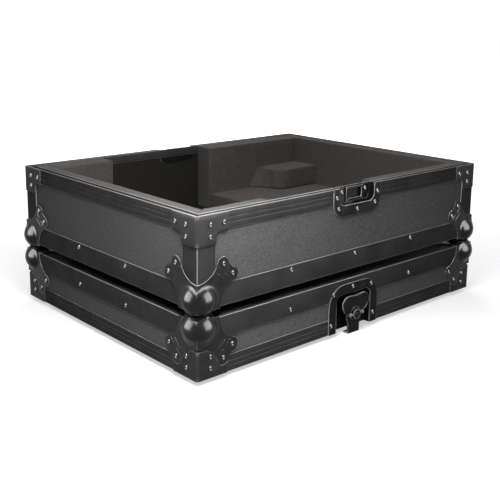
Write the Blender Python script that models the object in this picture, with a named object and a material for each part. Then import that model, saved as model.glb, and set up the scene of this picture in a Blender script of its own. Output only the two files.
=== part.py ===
"""Flight case for a tabletop CD player: an open, foam-lined base tray standing on its own lifted-off lid.

Metres, +Z up. X runs along the front, Y from the front (-Y) to the rear (+Y). The origin is on the floor under
the middle of the case. The lid stands with its open rim down on the hooks of its two latches, closed side up,
and the base stands with its ball corners on the ball corners of the lid.

Each stamped part is made once in a frame of its own and then mirrored to its corners:
  corner frame    origin at the outer corner of the metal edging, +X, +Y and +Z pointing into the case
  face frame      X along the front, Y into the case from the metal edging, Z away from the open rim
"""

import math

import bmesh
import bpy
from mathutils import Matrix, Vector

MM = 0.001

# Driving dimensions of the case, over the metal edging
WIDTH = 500.0 * MM
DEPTH = 375.0 * MM
LID_HEIGHT = 67.2 * MM
BASE_HEIGHT = 105.4 * MM

# Clearance between touching pieces, and how far a cutter runs past what it cuts
GAP = 0.3 * MM
PAST = 2.0 * MM

# Boards, metal sheet and edging
BOARD = 7.0 * MM
SHEET = 1.2 * MM
EDGE_LEG = 25.5 * MM
RIM_HEIGHT = 20.0 * MM
RIM_INNER_HEIGHT = 12.0 * MM
RIM_LIP = 2.0 * MM
RIM_GROOVE = 3.0 * MM
LID_RIM_WEB = 2.0 * MM
RIM_LINES = (7.2 * MM, 12.8 * MM)
RIM_LINE_WIDTH = 1.0 * MM
RIM_LINE_DEEP = 0.4 * MM
NOTCH_EXTRA = 0.4 * MM

# Ball corners
BALL_RADIUS = 19.6 * MM
BALL_INSET = 10.1 * MM
BALL_PROUD = 5.7 * MM
WING_NECK = 30.7 * MM
WING_BAY_RADIUS = 28.6 * MM
WING_RIVET = (34.9 * MM, 47.8 * MM)
WING_WAIST = 0.9 * MM

# Brackets on the corners of the open rims
BRACKET_LONG = 41.5 * MM
BRACKET_LONG_HEIGHT = 20.9 * MM
BRACKET_HEIGHT = 34.1 * MM
BRACKET_FILLET = 6.0 * MM
BRACKET_RIVETS = ((16.6 * MM, 11.8 * MM), (16.6 * MM, 25.0 * MM), (35.3 * MM, 11.8 * MM))

# Rivet heads, and the rows of them along the angle edging
RIVET_RADIUS = 3.3 * MM
RIVET_HEIGHT = 1.3 * MM
RIVET_SIDES = 8
BASE_RIVET_LINE = 19.5 * MM
LID_RIVET_LINE = 17.5 * MM
LONG_RIVET_PITCH = 111.0 * MM
SHORT_RIVET_PITCH = 104.0 * MM

# Latch dishes in the lid, and the latch on each
LATCH_FLANGE_HALF = 45.0 * MM
LATCH_FLANGE_TOP = 61.0 * MM
LATCH_FLANGE_RADIUS = 26.0 * MM
LATCH_POCKET_HALF = 31.3 * MM
LATCH_POCKET_TOP = 48.0 * MM
LATCH_POCKET_RADIUS = 9.5 * MM
LATCH_RIVETS = ((-38.5, 51.7), (-3.0, 55.9), (32.0, 52.3), (-41.5, 12.1), (37.0, 12.3))
PIVOT_HEIGHT = 20.3 * MM
HOOK_DROP = 5.4 * MM
HOOK_TRAVEL = 8.0 * MM
HOOK_THICK = 2.5 * MM
HOOK_FOOT_HALF = 10.3 * MM
HOOK_SHOULDER_HALF = 13.5 * MM
HOOK_LIP = 2.0 * MM
HOOK_BITE = 1.4 * MM
HUB_SHAFT_RADIUS = 3.0 * MM
HUB_DISC_RADIUS = 8.8 * MM
HUB_BOSS_RADIUS = 6.6 * MM
HUB_BOSS_HEIGHT = 3.4 * MM
WING_PLATE = 1.5 * MM
WING_HALF = 24.8 * MM
WING_TOP = 25.6 * MM
WING_SHOULDER = 14.3 * MM
WING_PIN_RADIUS = 1.0 * MM
WING_LUG_RADIUS = 2.4 * MM
WING_LUG_WIDTH = 3.8 * MM

# Keeper dishes in the base, and the strike plate in each
KEEPER_FLANGE_HALF = 42.7 * MM
KEEPER_FLANGE_HEIGHT = 35.4 * MM
KEEPER_FLANGE_RADIUS = 17.7 * MM
KEEPER_POCKET_HALF = 31.8 * MM
KEEPER_POCKET_HEIGHT = 21.6 * MM
KEEPER_POCKET_RADIUS = 9.4 * MM
KEEPER_RIVETS = ((-37.5, 11.2), (37.5, 11.6), (-34.0, 25.0), (0.0, 29.0), (33.0, 25.0))
STRIKE_INSET = 3.1 * MM
STRIKE_HALF = 15.6 * MM
STRIKE_EAR_HALF = 27.0 * MM
STRIKE_TOP = 0.8 * MM
STRIKE_HEIGHT = 18.4 * MM
STRIKE_BAR = 3.1 * MM
STRIKE_WINDOW_HALF = 12.5 * MM
STRIKE_WINDOW_HEIGHT = 11.9 * MM
STRIKE_RIVET = (21.4 * MM, 6.7 * MM)

# Foam in the base and the lid
LINER = 15.5 * MM
REAR_FOAM = 31.0 * MM
FOAM_BELOW_RIM = 0.5 * MM
PAD_HEIGHT = 25.0 * MM
LEFT_FOAM_END = -137.0 * MM
RIGHT_FOAM_START = 38.0 * MM
BLOCK_HEIGHT = 31.0 * MM
BLOCK_WIDTH = 84.0 * MM
BLOCK_DEPTH = 50.0 * MM
BLOCK_FLARE = 20.0 * MM
BLOCK_CORNER_RADIUS = 12.0 * MM
LID_FOAM = 10.0 * MM

# Distances into the case from the face of the edging
FACE = GAP + SHEET
BOARD_OUT = SHEET + GAP
BOARD_IN = BOARD_OUT + BOARD
RIM_LEG_IN = BOARD_IN + GAP
RIM_WIDTH = RIM_LEG_IN + SHEET
FOAM_OUT = RIM_WIDTH + GAP
POCKET_DEPTH = BOARD_IN - SHEET
POCKET_CUT = BOARD_IN + NOTCH_EXTRA
BASE_RIM_WEB = RIM_GROOVE + SHEET

# Heights of the parts in the stack
LID_RIM_Z = HOOK_DROP
LID_TOP_Z = LID_RIM_Z + LID_HEIGHT
BASE_FLOOR_Z = LID_TOP_Z + 2.0 * BALL_PROUD + GAP
BASE_RIM_Z = BASE_FLOOR_Z + BASE_HEIGHT
FLOOR_TOP_Z = BASE_FLOOR_Z + BOARD_IN
PAD_TOP_Z = FLOOR_TOP_Z + GAP + PAD_HEIGHT

CORNERS = {
    "front_left": (-1, -1),
    "front_right": (1, -1),
    "rear_left": (-1, 1),
    "rear_right": (1, 1),
}
FACES = {"front": 0.0, "rear": math.pi}
SIDES = {
    "front": (0.0, DEPTH),
    "right": (math.pi / 2.0, WIDTH),
    "rear": (math.pi, DEPTH),
    "left": (-math.pi / 2.0, WIDTH),
}

# Name: base colour, metallic, roughness
FINISHES = {
    "laminate": ((0.055, 0.056, 0.058), 0.0, 0.75),
    "edging": ((0.020, 0.020, 0.021), 0.9, 0.38),
    "steel": ((0.012, 0.012, 0.013), 0.8, 0.22),
    "latch": ((0.016, 0.016, 0.017), 0.8, 0.30),
    "foam": ((0.070, 0.069, 0.070), 0.0, 0.95),
}


def clear_scene():
    """Remove every object of the scene."""
    for thing in list(bpy.data.objects):
        bpy.data.objects.remove(thing, do_unlink=True)


def finish_material(piece, finish):
    """A Principled material of the piece's own."""
    colour, metallic, roughness = FINISHES[finish]
    material = bpy.data.materials.new(f"{piece}_{finish}")
    material.use_nodes = True
    shader = material.node_tree.nodes["Principled BSDF"]
    shader.inputs["Base Color"].default_value = (*colour, 1.0)
    shader.inputs["Metallic"].default_value = metallic
    shader.inputs["Roughness"].default_value = roughness
    material.diffuse_color = (*colour, 1.0)
    return material


def place(name, mesh, finish, location=(0.0, 0.0, 0.0), turn=0.0, parent=None):
    """Put a mesh in the scene as a named piece, turned about Z, with its location under its parent."""
    piece = bpy.data.objects.new(name, mesh)
    bpy.context.collection.objects.link(piece)
    piece.location = location
    piece.rotation_euler = (0.0, 0.0, turn)
    piece.parent = parent
    if not mesh.materials:
        mesh.materials.append(None)
    piece.material_slots[0].link = "OBJECT"
    piece.material_slots[0].material = finish_material(name, finish)
    return piece


def joint_empty(name, location, turn):
    """An empty at a joint, which carries the pieces that move there."""
    empty = bpy.data.objects.new(name, None)
    bpy.context.collection.objects.link(empty)
    empty.location = location
    empty.rotation_euler = (0.0, 0.0, turn)
    return empty


def mesh_of(builder):
    """Closed mesh of a bmesh, its faces pointing out."""
    bmesh.ops.recalc_face_normals(builder, faces=builder.faces)
    mesh = bpy.data.meshes.new("shape")
    builder.to_mesh(mesh)
    builder.free()
    return mesh


def arc(centre, radius, start, end, steps):
    """Points on a circle from one angle to another, both in degrees, ends included."""
    angles = (math.radians(start + (end - start) * i / steps) for i in range(steps + 1))
    return [(centre[0] + radius * math.cos(a), centre[1] + radius * math.sin(a)) for a in angles]


def add_prism(builder, outline, low, high, axis):
    """Extrude an outline from low to high: in X and Z along Y, in Y and Z along X, or in X and Y along Z."""
    order = {"X": lambda p, q, r: (r, p, q), "Y": lambda p, q, r: (p, r, q), "Z": lambda p, q, r: (p, q, r)}
    spot = order[axis]
    loops = [[builder.verts.new(spot(p, q, r)) for p, q in outline] for r in (low, high)]
    count = len(outline)
    for i in range(count):
        j = (i + 1) % count
        builder.faces.new((loops[0][i], loops[0][j], loops[1][j], loops[1][i]))
    builder.faces.new(loops[0])
    builder.faces.new(loops[1])


def prism(outline, low, high, axis):
    """Mesh of one extruded outline."""
    builder = bmesh.new()
    add_prism(builder, outline, low, high, axis)
    return mesh_of(builder)


def box(low, high):
    """Mesh of a box between two corners."""
    outline = [(low[0], low[1]), (high[0], low[1]), (high[0], high[1]), (low[0], high[1])]
    return prism(outline, low[2], high[2], "Z")


def rod(radius, low, high, axis, sides, centre=(0.0, 0.0)):
    """Mesh of a round rod along one axis, its centre given in the other two."""
    return prism(arc(centre, radius, 0.0, 360.0 - 360.0 / sides, sides - 1), low, high, axis)


def combine(mesh, steps):
    """Result of joining or cutting a mesh with others, in order: steps holds (operation, mesh)."""
    helpers = [bpy.data.objects.new("helper", mesh)]
    for operation, other in steps:
        tool = bpy.data.objects.new("helper", other)
        helpers.append(tool)
        change = helpers[0].modifiers.new(operation, "BOOLEAN")
        change.operation = operation
        change.solver = "EXACT"
        change.object = tool
    for helper in helpers:
        bpy.context.collection.objects.link(helper)
    graph = bpy.context.evaluated_depsgraph_get()
    result = bpy.data.meshes.new_from_object(helpers[0].evaluated_get(graph))
    for helper in helpers:
        bpy.data.objects.remove(helper, do_unlink=True)
    return result


def mirrored(mesh, signs):
    """Copy of a mesh with its axes reversed where a sign is negative, its faces still pointing out."""
    copy = mesh.copy()
    copy.transform(Matrix.Diagonal((*signs, 1.0)))
    if signs[0] * signs[1] * signs[2] < 0:
        copy.flip_normals()
    return copy


def moved(mesh, offset):
    """The same mesh, shifted."""
    mesh.transform(Matrix.Translation(Vector(offset)))
    return mesh


def rivet_heads(spots, face, axis):
    """Low round heads on a face, at the height of the face and pointing to the negative side of an axis."""
    builder = bmesh.new()
    order = {"X": lambda p, q, r: (r, p, q), "Y": lambda p, q, r: (p, r, q), "Z": lambda p, q, r: (p, q, r)}
    spot = order[axis]
    rings = ((RIVET_RADIUS, face + SHEET / 2.0), (RIVET_RADIUS, face), (0.6 * RIVET_RADIUS, face - RIVET_HEIGHT))
    for p, q in spots:
        loops = []
        for radius, r in rings:
            circle = arc((p, q), radius, 0.0, 360.0 - 360.0 / RIVET_SIDES, RIVET_SIDES - 1)
            loops.append([builder.verts.new(spot(*point, r)) for point in circle])
        for lower, upper in zip(loops, loops[1:]):
            for i in range(RIVET_SIDES):
                j = (i + 1) % RIVET_SIDES
                builder.faces.new((lower[i], lower[j], upper[j], upper[i]))
        builder.faces.new(loops[0])
        builder.faces.new(loops[-1])
    return mesh_of(builder)


def bar_along(side, profile, base_z, rise):
    """Mitred bar along one side: profile points are (distance in from the face, distance from the rim or edge)."""
    builder = bmesh.new()
    ends = []
    for end in (-1, 1):
        loop = []
        for inset, height in profile:
            z = base_z + rise * height
            along = inset + GAP / 2.0
            if side in ("front", "rear"):
                sign = -1 if side == "front" else 1
                loop.append(builder.verts.new((end * (WIDTH / 2.0 - along), sign * (DEPTH / 2.0 - inset), z)))
            else:
                sign = -1 if side == "left" else 1
                loop.append(builder.verts.new((sign * (WIDTH / 2.0 - inset), end * (DEPTH / 2.0 - along), z)))
        ends.append(loop)
    for i in range(len(profile)):
        j = (i + 1) % len(profile)
        builder.faces.new((ends[0][i], ends[0][j], ends[1][j], ends[1][i]))
    builder.faces.new(ends[0])
    builder.faces.new(ends[1])
    return mesh_of(builder)


def frame_round(profile, base_z, rise):
    """Closed frame round the whole case, mitred at its corners, from the same kind of profile."""
    builder = bmesh.new()
    loops = []
    for x_sign, y_sign in ((-1, -1), (1, -1), (1, 1), (-1, 1)):
        loop = []
        for inset, height in profile:
            x = x_sign * (WIDTH / 2.0 - inset)
            y = y_sign * (DEPTH / 2.0 - inset)
            loop.append(builder.verts.new((x, y, base_z + rise * height)))
        loops.append(loop)
    for start in range(4):
        here, there = loops[start], loops[(start + 1) % 4]
        for i in range(len(profile)):
            j = (i + 1) % len(profile)
            builder.faces.new((here[i], here[j], there[j], there[i]))
    return mesh_of(builder)


def outer_leg(height):
    """Outer face of a rim from its free edge to its far edge, with the fine lines rolled into it."""
    points = []
    for line in RIM_LINES:
        half = RIM_LINE_WIDTH / 2.0
        points += [(0.0, line - half), (RIM_LINE_DEEP, line), (0.0, line + half)]
    return [(0.0, 0.0), *points, (0.0, height)]


def base_rim_profile():
    """Rim of the base: a cap over the board's edge, with a groove between an outer and an inner lip."""
    inner = [
        (SHEET, RIM_HEIGHT),
        (SHEET, BASE_RIM_WEB),
        (RIM_LEG_IN, BASE_RIM_WEB),
        (RIM_LEG_IN, RIM_INNER_HEIGHT),
        (RIM_WIDTH, RIM_INNER_HEIGHT),
        (RIM_WIDTH, 0.0),
        (RIM_WIDTH - RIM_LIP, 0.0),
        (RIM_WIDTH - RIM_LIP, RIM_GROOVE),
        (RIM_LIP, RIM_GROOVE),
        (RIM_LIP, 0.0),
    ]
    return outer_leg(RIM_HEIGHT) + inner


def lid_rim_profile():
    """Rim of the lid: the same cap with a flat foot."""
    inner = [
        (SHEET, RIM_HEIGHT),
        (SHEET, LID_RIM_WEB),
        (RIM_LEG_IN, LID_RIM_WEB),
        (RIM_LEG_IN, RIM_INNER_HEIGHT),
        (RIM_WIDTH, RIM_INNER_HEIGHT),
        (RIM_WIDTH, 0.0),
    ]
    return outer_leg(RIM_HEIGHT) + inner


def edge_profile():
    """Angle edging on the closed side of a half: one leg on the wall, one on the floor or top."""
    return [
        (0.0, 0.0),
        (EDGE_LEG, 0.0),
        (EDGE_LEG, SHEET),
        (SHEET, SHEET),
        (SHEET, EDGE_LEG),
        (0.0, EDGE_LEG),
    ]


def pocket_outline(half, height, radius, open_to):
    """Pocket seen from the front: open towards the rim, with two rounded corners at its far end."""
    return [
        (-half, open_to),
        (half, open_to),
        *arc((half - radius, height - radius), radius, 0.0, 90.0, 4),
        *arc((-half + radius, height - radius), radius, 90.0, 180.0, 4),
    ]


def pocket_cutter(half, height, radius):
    """Room for a dish in the board and edging round it, in the face frame."""
    room = SHEET + GAP
    outline = pocket_outline(half + room, height + room, radius + room, -PAST)
    return prism(outline, -FACE - PAST, POCKET_CUT, "Y")


def dish(flange, pocket, rivets):
    """Pressed dish: a flange on the face, and a pocket let into the board and open towards the rim."""
    flange_half, flange_height, flange_radius = flange
    half, height, radius = pocket
    plate = prism(pocket_outline(flange_half, flange_height, flange_radius, GAP), -FACE, -GAP, "Y")
    wall = SHEET
    shell_outline = pocket_outline(half + wall, height + wall, radius + wall, GAP)
    shell = prism(shell_outline, -FACE + wall / 2.0, POCKET_DEPTH + wall, "Y")
    hollow = prism(pocket_outline(half, height, radius, -PAST), -FACE - PAST, POCKET_DEPTH, "Y")
    heads = rivet_heads([(x * MM, z * MM) for x, z in rivets], -FACE, "Y")
    return combine(plate, [("UNION", shell), ("DIFFERENCE", hollow), ("UNION", heads)])


def wing_outline(grow):
    """One face of a ball corner, in the plane of the face, made larger by grow all round.

    Two lobes hold the rivets on either side of the face's diagonal, and each runs into the bay that the corner
    leaves on its side. The bay's arc and the lobe's arc meet in a smooth line.
    """
    near, far = WING_RIVET
    bay_centre = WING_NECK + WING_BAY_RADIUS
    lobe = math.hypot(bay_centre - far, near) - WING_BAY_RADIUS + grow
    bay = WING_BAY_RADIUS - grow
    meet = math.degrees(math.atan2(near, far - bay_centre))
    middle = (near + far) / 2.0 + (lobe - WING_WAIST) / math.sqrt(2.0)
    half = [
        (WING_NECK + grow, -FACE),
        *arc((bay_centre, 0.0), bay, 180.0, meet, 5),
        *arc((far, near), lobe, meet - 180.0, 45.0, 5)[1:],
    ]
    other = [(v, u) for u, v in reversed(half)]
    return [(-FACE, -FACE), *half, (middle, middle), *other]


def ball_corner_mesh():
    """Stamped corner with three winged faces and a ball that stands proud of all three, in the corner frame."""
    outline = wing_outline(0.0)
    plates = [prism(outline, -FACE, SHEET, axis) for axis in ("X", "Y", "Z")]
    builder = bmesh.new()
    bmesh.ops.create_uvsphere(builder, u_segments=20, v_segments=12, radius=BALL_RADIUS)
    bmesh.ops.translate(builder, verts=builder.verts, vec=(BALL_INSET,) * 3)
    ball = mesh_of(builder)
    reach = WING_RIVET[1] + BALL_RADIUS + BALL_INSET
    below_foot = box((-reach, -reach, -reach), (reach, reach, -BALL_PROUD))
    core = box((-GAP, -GAP, -GAP), (reach, reach, reach))
    near, far = WING_RIVET
    heads = [rivet_heads([(near, far), (far, near)], -FACE, axis) for axis in ("X", "Y", "Z")]
    steps = [("UNION", plates[1]), ("UNION", plates[2]), ("UNION", ball)]
    steps += [("DIFFERENCE", below_foot), ("DIFFERENCE", core)]
    steps += [("UNION", head) for head in heads]
    return combine(plates[0], steps)


def bracket_outline():
    """One face of a rim bracket: a long leg on the rim and a short one down the corner, with a round inside."""
    inside = (EDGE_LEG + BRACKET_FILLET, BRACKET_LONG_HEIGHT + BRACKET_FILLET)
    return [
        (-FACE, GAP),
        (BRACKET_LONG, GAP),
        (BRACKET_LONG, BRACKET_LONG_HEIGHT),
        *arc(inside, BRACKET_FILLET, 270.0, 180.0, 4),
        (EDGE_LEG, BRACKET_HEIGHT),
        (-FACE, BRACKET_HEIGHT),
    ]


def bracket_mesh(beside_wings):
    """Bracket over a corner of a rim, in the corner frame with Z away from the rim.

    On the lid its outline gives way to the wings of the ball corner, which reach down over the same corner.
    """
    plates = [prism(bracket_outline(), -FACE, SHEET, axis) for axis in ("X", "Y")]
    reach = BRACKET_LONG + PAST
    core = box((-GAP, -GAP, -PAST), (reach, reach, BRACKET_HEIGHT + PAST))
    steps = [("UNION", plates[1]), ("DIFFERENCE", core)]
    spots = BRACKET_RIVETS
    if beside_wings:
        outline = [(u, LID_HEIGHT - v) for u, v in wing_outline(GAP)]
        wider = [(min(u, -FACE - PAST) if u < 0 else u, v) for u, v in outline]
        for axis in ("X", "Y"):
            steps.append(("DIFFERENCE", prism(wider, -FACE - PAST, SHEET, axis)))
        spots = BRACKET_RIVETS[:2]
    steps += [("UNION", rivet_heads(spots, -FACE, axis)) for axis in ("X", "Y")]
    return combine(plates[0], steps)


def corner_angle_mesh():
    """Upright angle between the rim and the lower edging, in the corner frame."""
    outline = [
        (0.0, 0.0),
        (EDGE_LEG, 0.0),
        (EDGE_LEG, SHEET),
        (SHEET, SHEET),
        (SHEET, EDGE_LEG),
        (0.0, EDGE_LEG),
    ]
    return prism(outline, EDGE_LEG + GAP, BASE_HEIGHT - RIM_HEIGHT - GAP, "Z")


def make_corner_pieces():
    """The four corners of the base and of the lid."""
    ball_corner = ball_corner_mesh()
    angle = corner_angle_mesh()
    base_bracket = bracket_mesh(False)
    lid_bracket = bracket_mesh(True)
    for name, (x_sign, y_sign) in CORNERS.items():
        inward = (-x_sign, -y_sign)
        x, y = x_sign * WIDTH / 2.0, y_sign * DEPTH / 2.0
        place(f"base_ball_corner_{name}", mirrored(ball_corner, (*inward, 1)), "steel", (x, y, BASE_FLOOR_Z))
        place(f"lid_ball_corner_{name}", mirrored(ball_corner, (*inward, -1)), "steel", (x, y, LID_TOP_Z))
        place(f"base_corner_angle_{name}", mirrored(angle, (*inward, 1)), "edging", (x, y, BASE_FLOOR_Z))
        place(f"base_rim_bracket_{name}", mirrored(base_bracket, (*inward, -1)), "steel", (x, y, BASE_RIM_Z))
        place(f"lid_rim_bracket_{name}", mirrored(lid_bracket, (*inward, 1)), "steel", (x, y, LID_RIM_Z))


def turned_cutter(cutter, turn, z, rise):
    """A cutter of the face frame, brought to the front or rear face at the height of a rim."""
    shaped = mirrored(cutter, (1, 1, rise))
    shaped.transform(Matrix.Translation((0.0, -DEPTH / 2.0, z)))
    shaped.transform(Matrix.Rotation(turn, 4, "Z"))
    return shaped


def face_cuts(cutter, z, rise, faces):
    """Boolean steps that cut the same pocket into the named faces."""
    return [("DIFFERENCE", turned_cutter(cutter, FACES[face], z, rise)) for face in faces]


def make_base_boards(keeper_cutter):
    """Floor and four walls of the base."""
    wall_low = BASE_FLOOR_Z + BOARD_OUT
    wall_high = BASE_RIM_Z - BASE_RIM_WEB - GAP
    floor_x = WIDTH / 2.0 - BOARD_IN - GAP
    floor_y = DEPTH / 2.0 - BOARD_IN - GAP
    floor = box((-floor_x, -floor_y, wall_low), (floor_x, floor_y, FLOOR_TOP_Z))
    place("base_floor_panel", floor, "laminate")
    long_x = WIDTH / 2.0 - BOARD_OUT
    outer_y = DEPTH / 2.0 - BOARD_OUT
    inner_y = DEPTH / 2.0 - BOARD_IN
    for face, sign in (("front", -1), ("rear", 1)):
        ys = sorted((sign * outer_y, sign * inner_y))
        wall = box((-long_x, ys[0], wall_low), (long_x, ys[1], wall_high))
        wall = combine(wall, face_cuts(keeper_cutter, BASE_RIM_Z, -1, [face]))
        place(f"base_{face}_panel", wall, "laminate")
    side_y = inner_y - GAP
    for face, sign in (("left", -1), ("right", 1)):
        xs = sorted((sign * long_x, sign * (WIDTH / 2.0 - BOARD_IN)))
        place(f"base_{face}_panel", box((xs[0], -side_y, wall_low), (xs[1], side_y, wall_high)), "laminate")


def make_lid_boards(latch_cutter):
    """Top panel and the glued frame of walls of the lid."""
    wall_low = LID_RIM_WEB + GAP
    wall_high = LID_HEIGHT - BOARD_OUT
    profile = [
        (BOARD_OUT, wall_low),
        (BOARD_IN, wall_low),
        (BOARD_IN, wall_high),
        (BOARD_OUT, wall_high),
    ]
    walls = frame_round(profile, LID_RIM_Z, 1.0)
    walls = combine(walls, face_cuts(latch_cutter, LID_RIM_Z, 1, FACES))
    place("lid_wall_frame", walls, "laminate")
    top_x = WIDTH / 2.0 - BOARD_IN - GAP
    top_y = DEPTH / 2.0 - BOARD_IN - GAP
    top_low = LID_TOP_Z - BOARD_IN
    top = box((-top_x, -top_y, top_low), (top_x, top_y, LID_TOP_Z - BOARD_OUT))
    place("lid_top_panel", top, "laminate")
    foam = box((-top_x, -top_y, top_low - GAP - LID_FOAM), (top_x, top_y, top_low - GAP))
    place("lid_top_foam", foam, "foam")


def edge_rivets(edge_z, rise, line, middle):
    """Joining steps for the rivets along the legs of an angle frame on the walls, line away from its edge."""
    steps = []
    for side, (turn, across) in SIDES.items():
        spots = [-SHORT_RIVET_PITCH / 2.0, SHORT_RIVET_PITCH / 2.0]
        if side in FACES:
            spots = [-LONG_RIVET_PITCH, LONG_RIVET_PITCH]
            spots += [0.0] if middle else []
        heads = rivet_heads([(x, rise * line) for x in spots], 0.0, "Y")
        heads.transform(Matrix.Translation((0.0, -across / 2.0, edge_z)))
        heads.transform(Matrix.Rotation(turn, 4, "Z"))
        steps.append(("UNION", heads))
    return steps


def make_edging(keeper_cutter, latch_cutter):
    """Rims round the open sides and angle frames round the closed sides."""
    for side in ("front", "rear", "left", "right"):
        base_rim = bar_along(side, base_rim_profile(), BASE_RIM_Z, -1.0)
        lid_rim = bar_along(side, lid_rim_profile(), LID_RIM_Z, 1.0)
        if side in FACES:
            base_rim = combine(base_rim, face_cuts(keeper_cutter, BASE_RIM_Z, -1, [side]))
            lid_rim = combine(lid_rim, face_cuts(latch_cutter, LID_RIM_Z, 1, [side]))
        place(f"base_rim_{side}", base_rim, "edging")
        place(f"lid_rim_{side}", lid_rim, "edging")
    base_edge = frame_round(edge_profile(), BASE_FLOOR_Z, 1.0)
    base_edge = combine(base_edge, edge_rivets(BASE_FLOOR_Z, 1.0, BASE_RIVET_LINE, True))
    place("base_edge_frame", base_edge, "edging")
    lid_edge = frame_round(edge_profile(), LID_TOP_Z, -1.0)
    lid_edge = combine(lid_edge, face_cuts(latch_cutter, LID_RIM_Z, 1, FACES))
    lid_edge = combine(lid_edge, edge_rivets(LID_TOP_Z, -1.0, LID_RIVET_LINE, False))
    place("lid_edge_frame", lid_edge, "edging")


def strike_mesh():
    """Strike plate of a keeper, in the face frame: a raised bridge with a window, and an ear on either side."""
    back = POCKET_DEPTH - GAP
    ear = back - SHEET
    bridge_back = STRIKE_INSET + SHEET
    inner_half = STRIKE_HALF - SHEET
    section = [
        (-STRIKE_EAR_HALF, back),
        (-STRIKE_EAR_HALF, ear),
        (-STRIKE_HALF, ear),
        (-STRIKE_HALF, STRIKE_INSET),
        (STRIKE_HALF, STRIKE_INSET),
        (STRIKE_HALF, ear),
        (STRIKE_EAR_HALF, ear),
        (STRIKE_EAR_HALF, back),
        (inner_half, back),
        (inner_half, bridge_back),
        (-inner_half, bridge_back),
        (-inner_half, back),
    ]
    plate = prism(section, STRIKE_TOP, STRIKE_HEIGHT, "Z")
    low = (-STRIKE_WINDOW_HALF, STRIKE_INSET - PAST, STRIKE_BAR)
    high = (STRIKE_WINDOW_HALF, bridge_back + PAST / 2.0, STRIKE_BAR + STRIKE_WINDOW_HEIGHT)
    x, z = STRIKE_RIVET
    heads = rivet_heads([(-x, z), (x, z)], ear, "Y")
    return combine(plate, [("DIFFERENCE", box(low, high)), ("UNION", heads)])


def make_keepers():
    """Keeper dish and strike plate on the front and rear of the base."""
    flange = (KEEPER_FLANGE_HALF, KEEPER_FLANGE_HEIGHT, KEEPER_FLANGE_RADIUS)
    pocket = (KEEPER_POCKET_HALF, KEEPER_POCKET_HEIGHT, KEEPER_POCKET_RADIUS)
    dish_mesh = mirrored(dish(flange, pocket, KEEPER_RIVETS), (1, 1, -1))
    plate_mesh = mirrored(strike_mesh(), (1, 1, -1))
    for face, turn in FACES.items():
        y = -DEPTH / 2.0 * math.cos(turn)
        place(f"keeper_dish_{face}", dish_mesh, "steel", (0.0, y, BASE_RIM_Z), turn)
        place(f"keeper_strike_{face}", plate_mesh, "steel", (0.0, y, BASE_RIM_Z), turn)


def hub_faces():
    """Distances out from the face of the edging to the layers of a latch, from the hook to the hinge pin.

    The wing turns just clear of the rivets of its dish, and the hook slides behind it.
    """
    disc_back = FACE + RIVET_HEIGHT + GAP
    disc_front = disc_back + WING_PLATE
    hook_front = disc_back - GAP
    hook_back = hook_front - HOOK_THICK
    pin = disc_front + GAP + WING_PIN_RADIUS
    return hook_back, hook_front, disc_back, disc_front, pin


def hook_mesh():
    """Hook plate of a latch, its origin at the pivot on the face of the edging.

    It tapers to a foot whose lip turns in under the strike plate, and a slot lets it travel past the hub's shaft.
    """
    hook_back, hook_front = hub_faces()[:2]
    foot = -PIVOT_HEIGHT - HOOK_DROP
    slot_half = HUB_SHAFT_RADIUS + GAP
    slot_low = -slot_half
    slot_high = HOOK_TRAVEL + slot_half
    head = slot_high + HUB_SHAFT_RADIUS
    shoulder = -slot_half - HUB_SHAFT_RADIUS
    outline = [
        (-HOOK_FOOT_HALF, foot),
        (HOOK_FOOT_HALF, foot),
        (HOOK_SHOULDER_HALF, shoulder),
        (HOOK_SHOULDER_HALF, head - HUB_SHAFT_RADIUS),
        (HOOK_SHOULDER_HALF - HUB_SHAFT_RADIUS, head),
        (-HOOK_SHOULDER_HALF + HUB_SHAFT_RADIUS, head),
        (-HOOK_SHOULDER_HALF, head - HUB_SHAFT_RADIUS),
        (-HOOK_SHOULDER_HALF, shoulder),
    ]
    plate = prism(outline, -hook_front, -hook_back, "Y")
    lip_in = STRIKE_INSET + SHEET + HOOK_BITE
    lip = box((-HOOK_FOOT_HALF, -hook_front, foot), (HOOK_FOOT_HALF, lip_in, foot + HOOK_LIP))
    slot_outline = [
        *arc((0.0, slot_low + slot_half), slot_half, 180.0, 360.0, 8),
        *arc((0.0, slot_high - slot_half), slot_half, 0.0, 180.0, 8),
    ]
    slot = prism(slot_outline, -hook_front - PAST, -hook_back + PAST, "Y")
    return combine(plate, [("UNION", lip), ("DIFFERENCE", slot)])


def hub_mesh():
    """Turning hub of a latch, its origin at the pivot on the face of the edging: shaft, disc and bored boss."""
    disc_back, disc_front, pin = hub_faces()[2:]
    boss_front = disc_front + HUB_BOSS_HEIGHT
    profile = [
        (0.0, POCKET_DEPTH - GAP),
        (HUB_SHAFT_RADIUS, POCKET_DEPTH - GAP),
        (HUB_SHAFT_RADIUS, -disc_back),
        (HUB_DISC_RADIUS, -disc_back),
        (HUB_DISC_RADIUS, -disc_front),
        (HUB_BOSS_RADIUS, -disc_front),
        (HUB_BOSS_RADIUS, -boss_front + WING_PIN_RADIUS / 2.0),
        (HUB_BOSS_RADIUS - WING_PIN_RADIUS / 2.0, -boss_front),
        (0.0, -boss_front),
    ]
    builder = bmesh.new()
    points = [builder.verts.new((radius, y, 0.0)) for radius, y in profile]
    edges = [builder.edges.new(pair) for pair in zip(points, points[1:])]
    bmesh.ops.spin(
        builder, geom=points + edges, cent=(0, 0, 0), axis=(0, 1, 0), angle=math.tau, steps=24, use_duplicate=False
    )
    bmesh.ops.remove_doubles(builder, verts=builder.verts, dist=1e-6)
    turned = mesh_of(builder)
    bore = rod(WING_PIN_RADIUS + GAP, -HUB_DISC_RADIUS, HUB_DISC_RADIUS, "X", 12, (-pin, 0.0))
    return combine(turned, [("DIFFERENCE", bore)])


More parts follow.
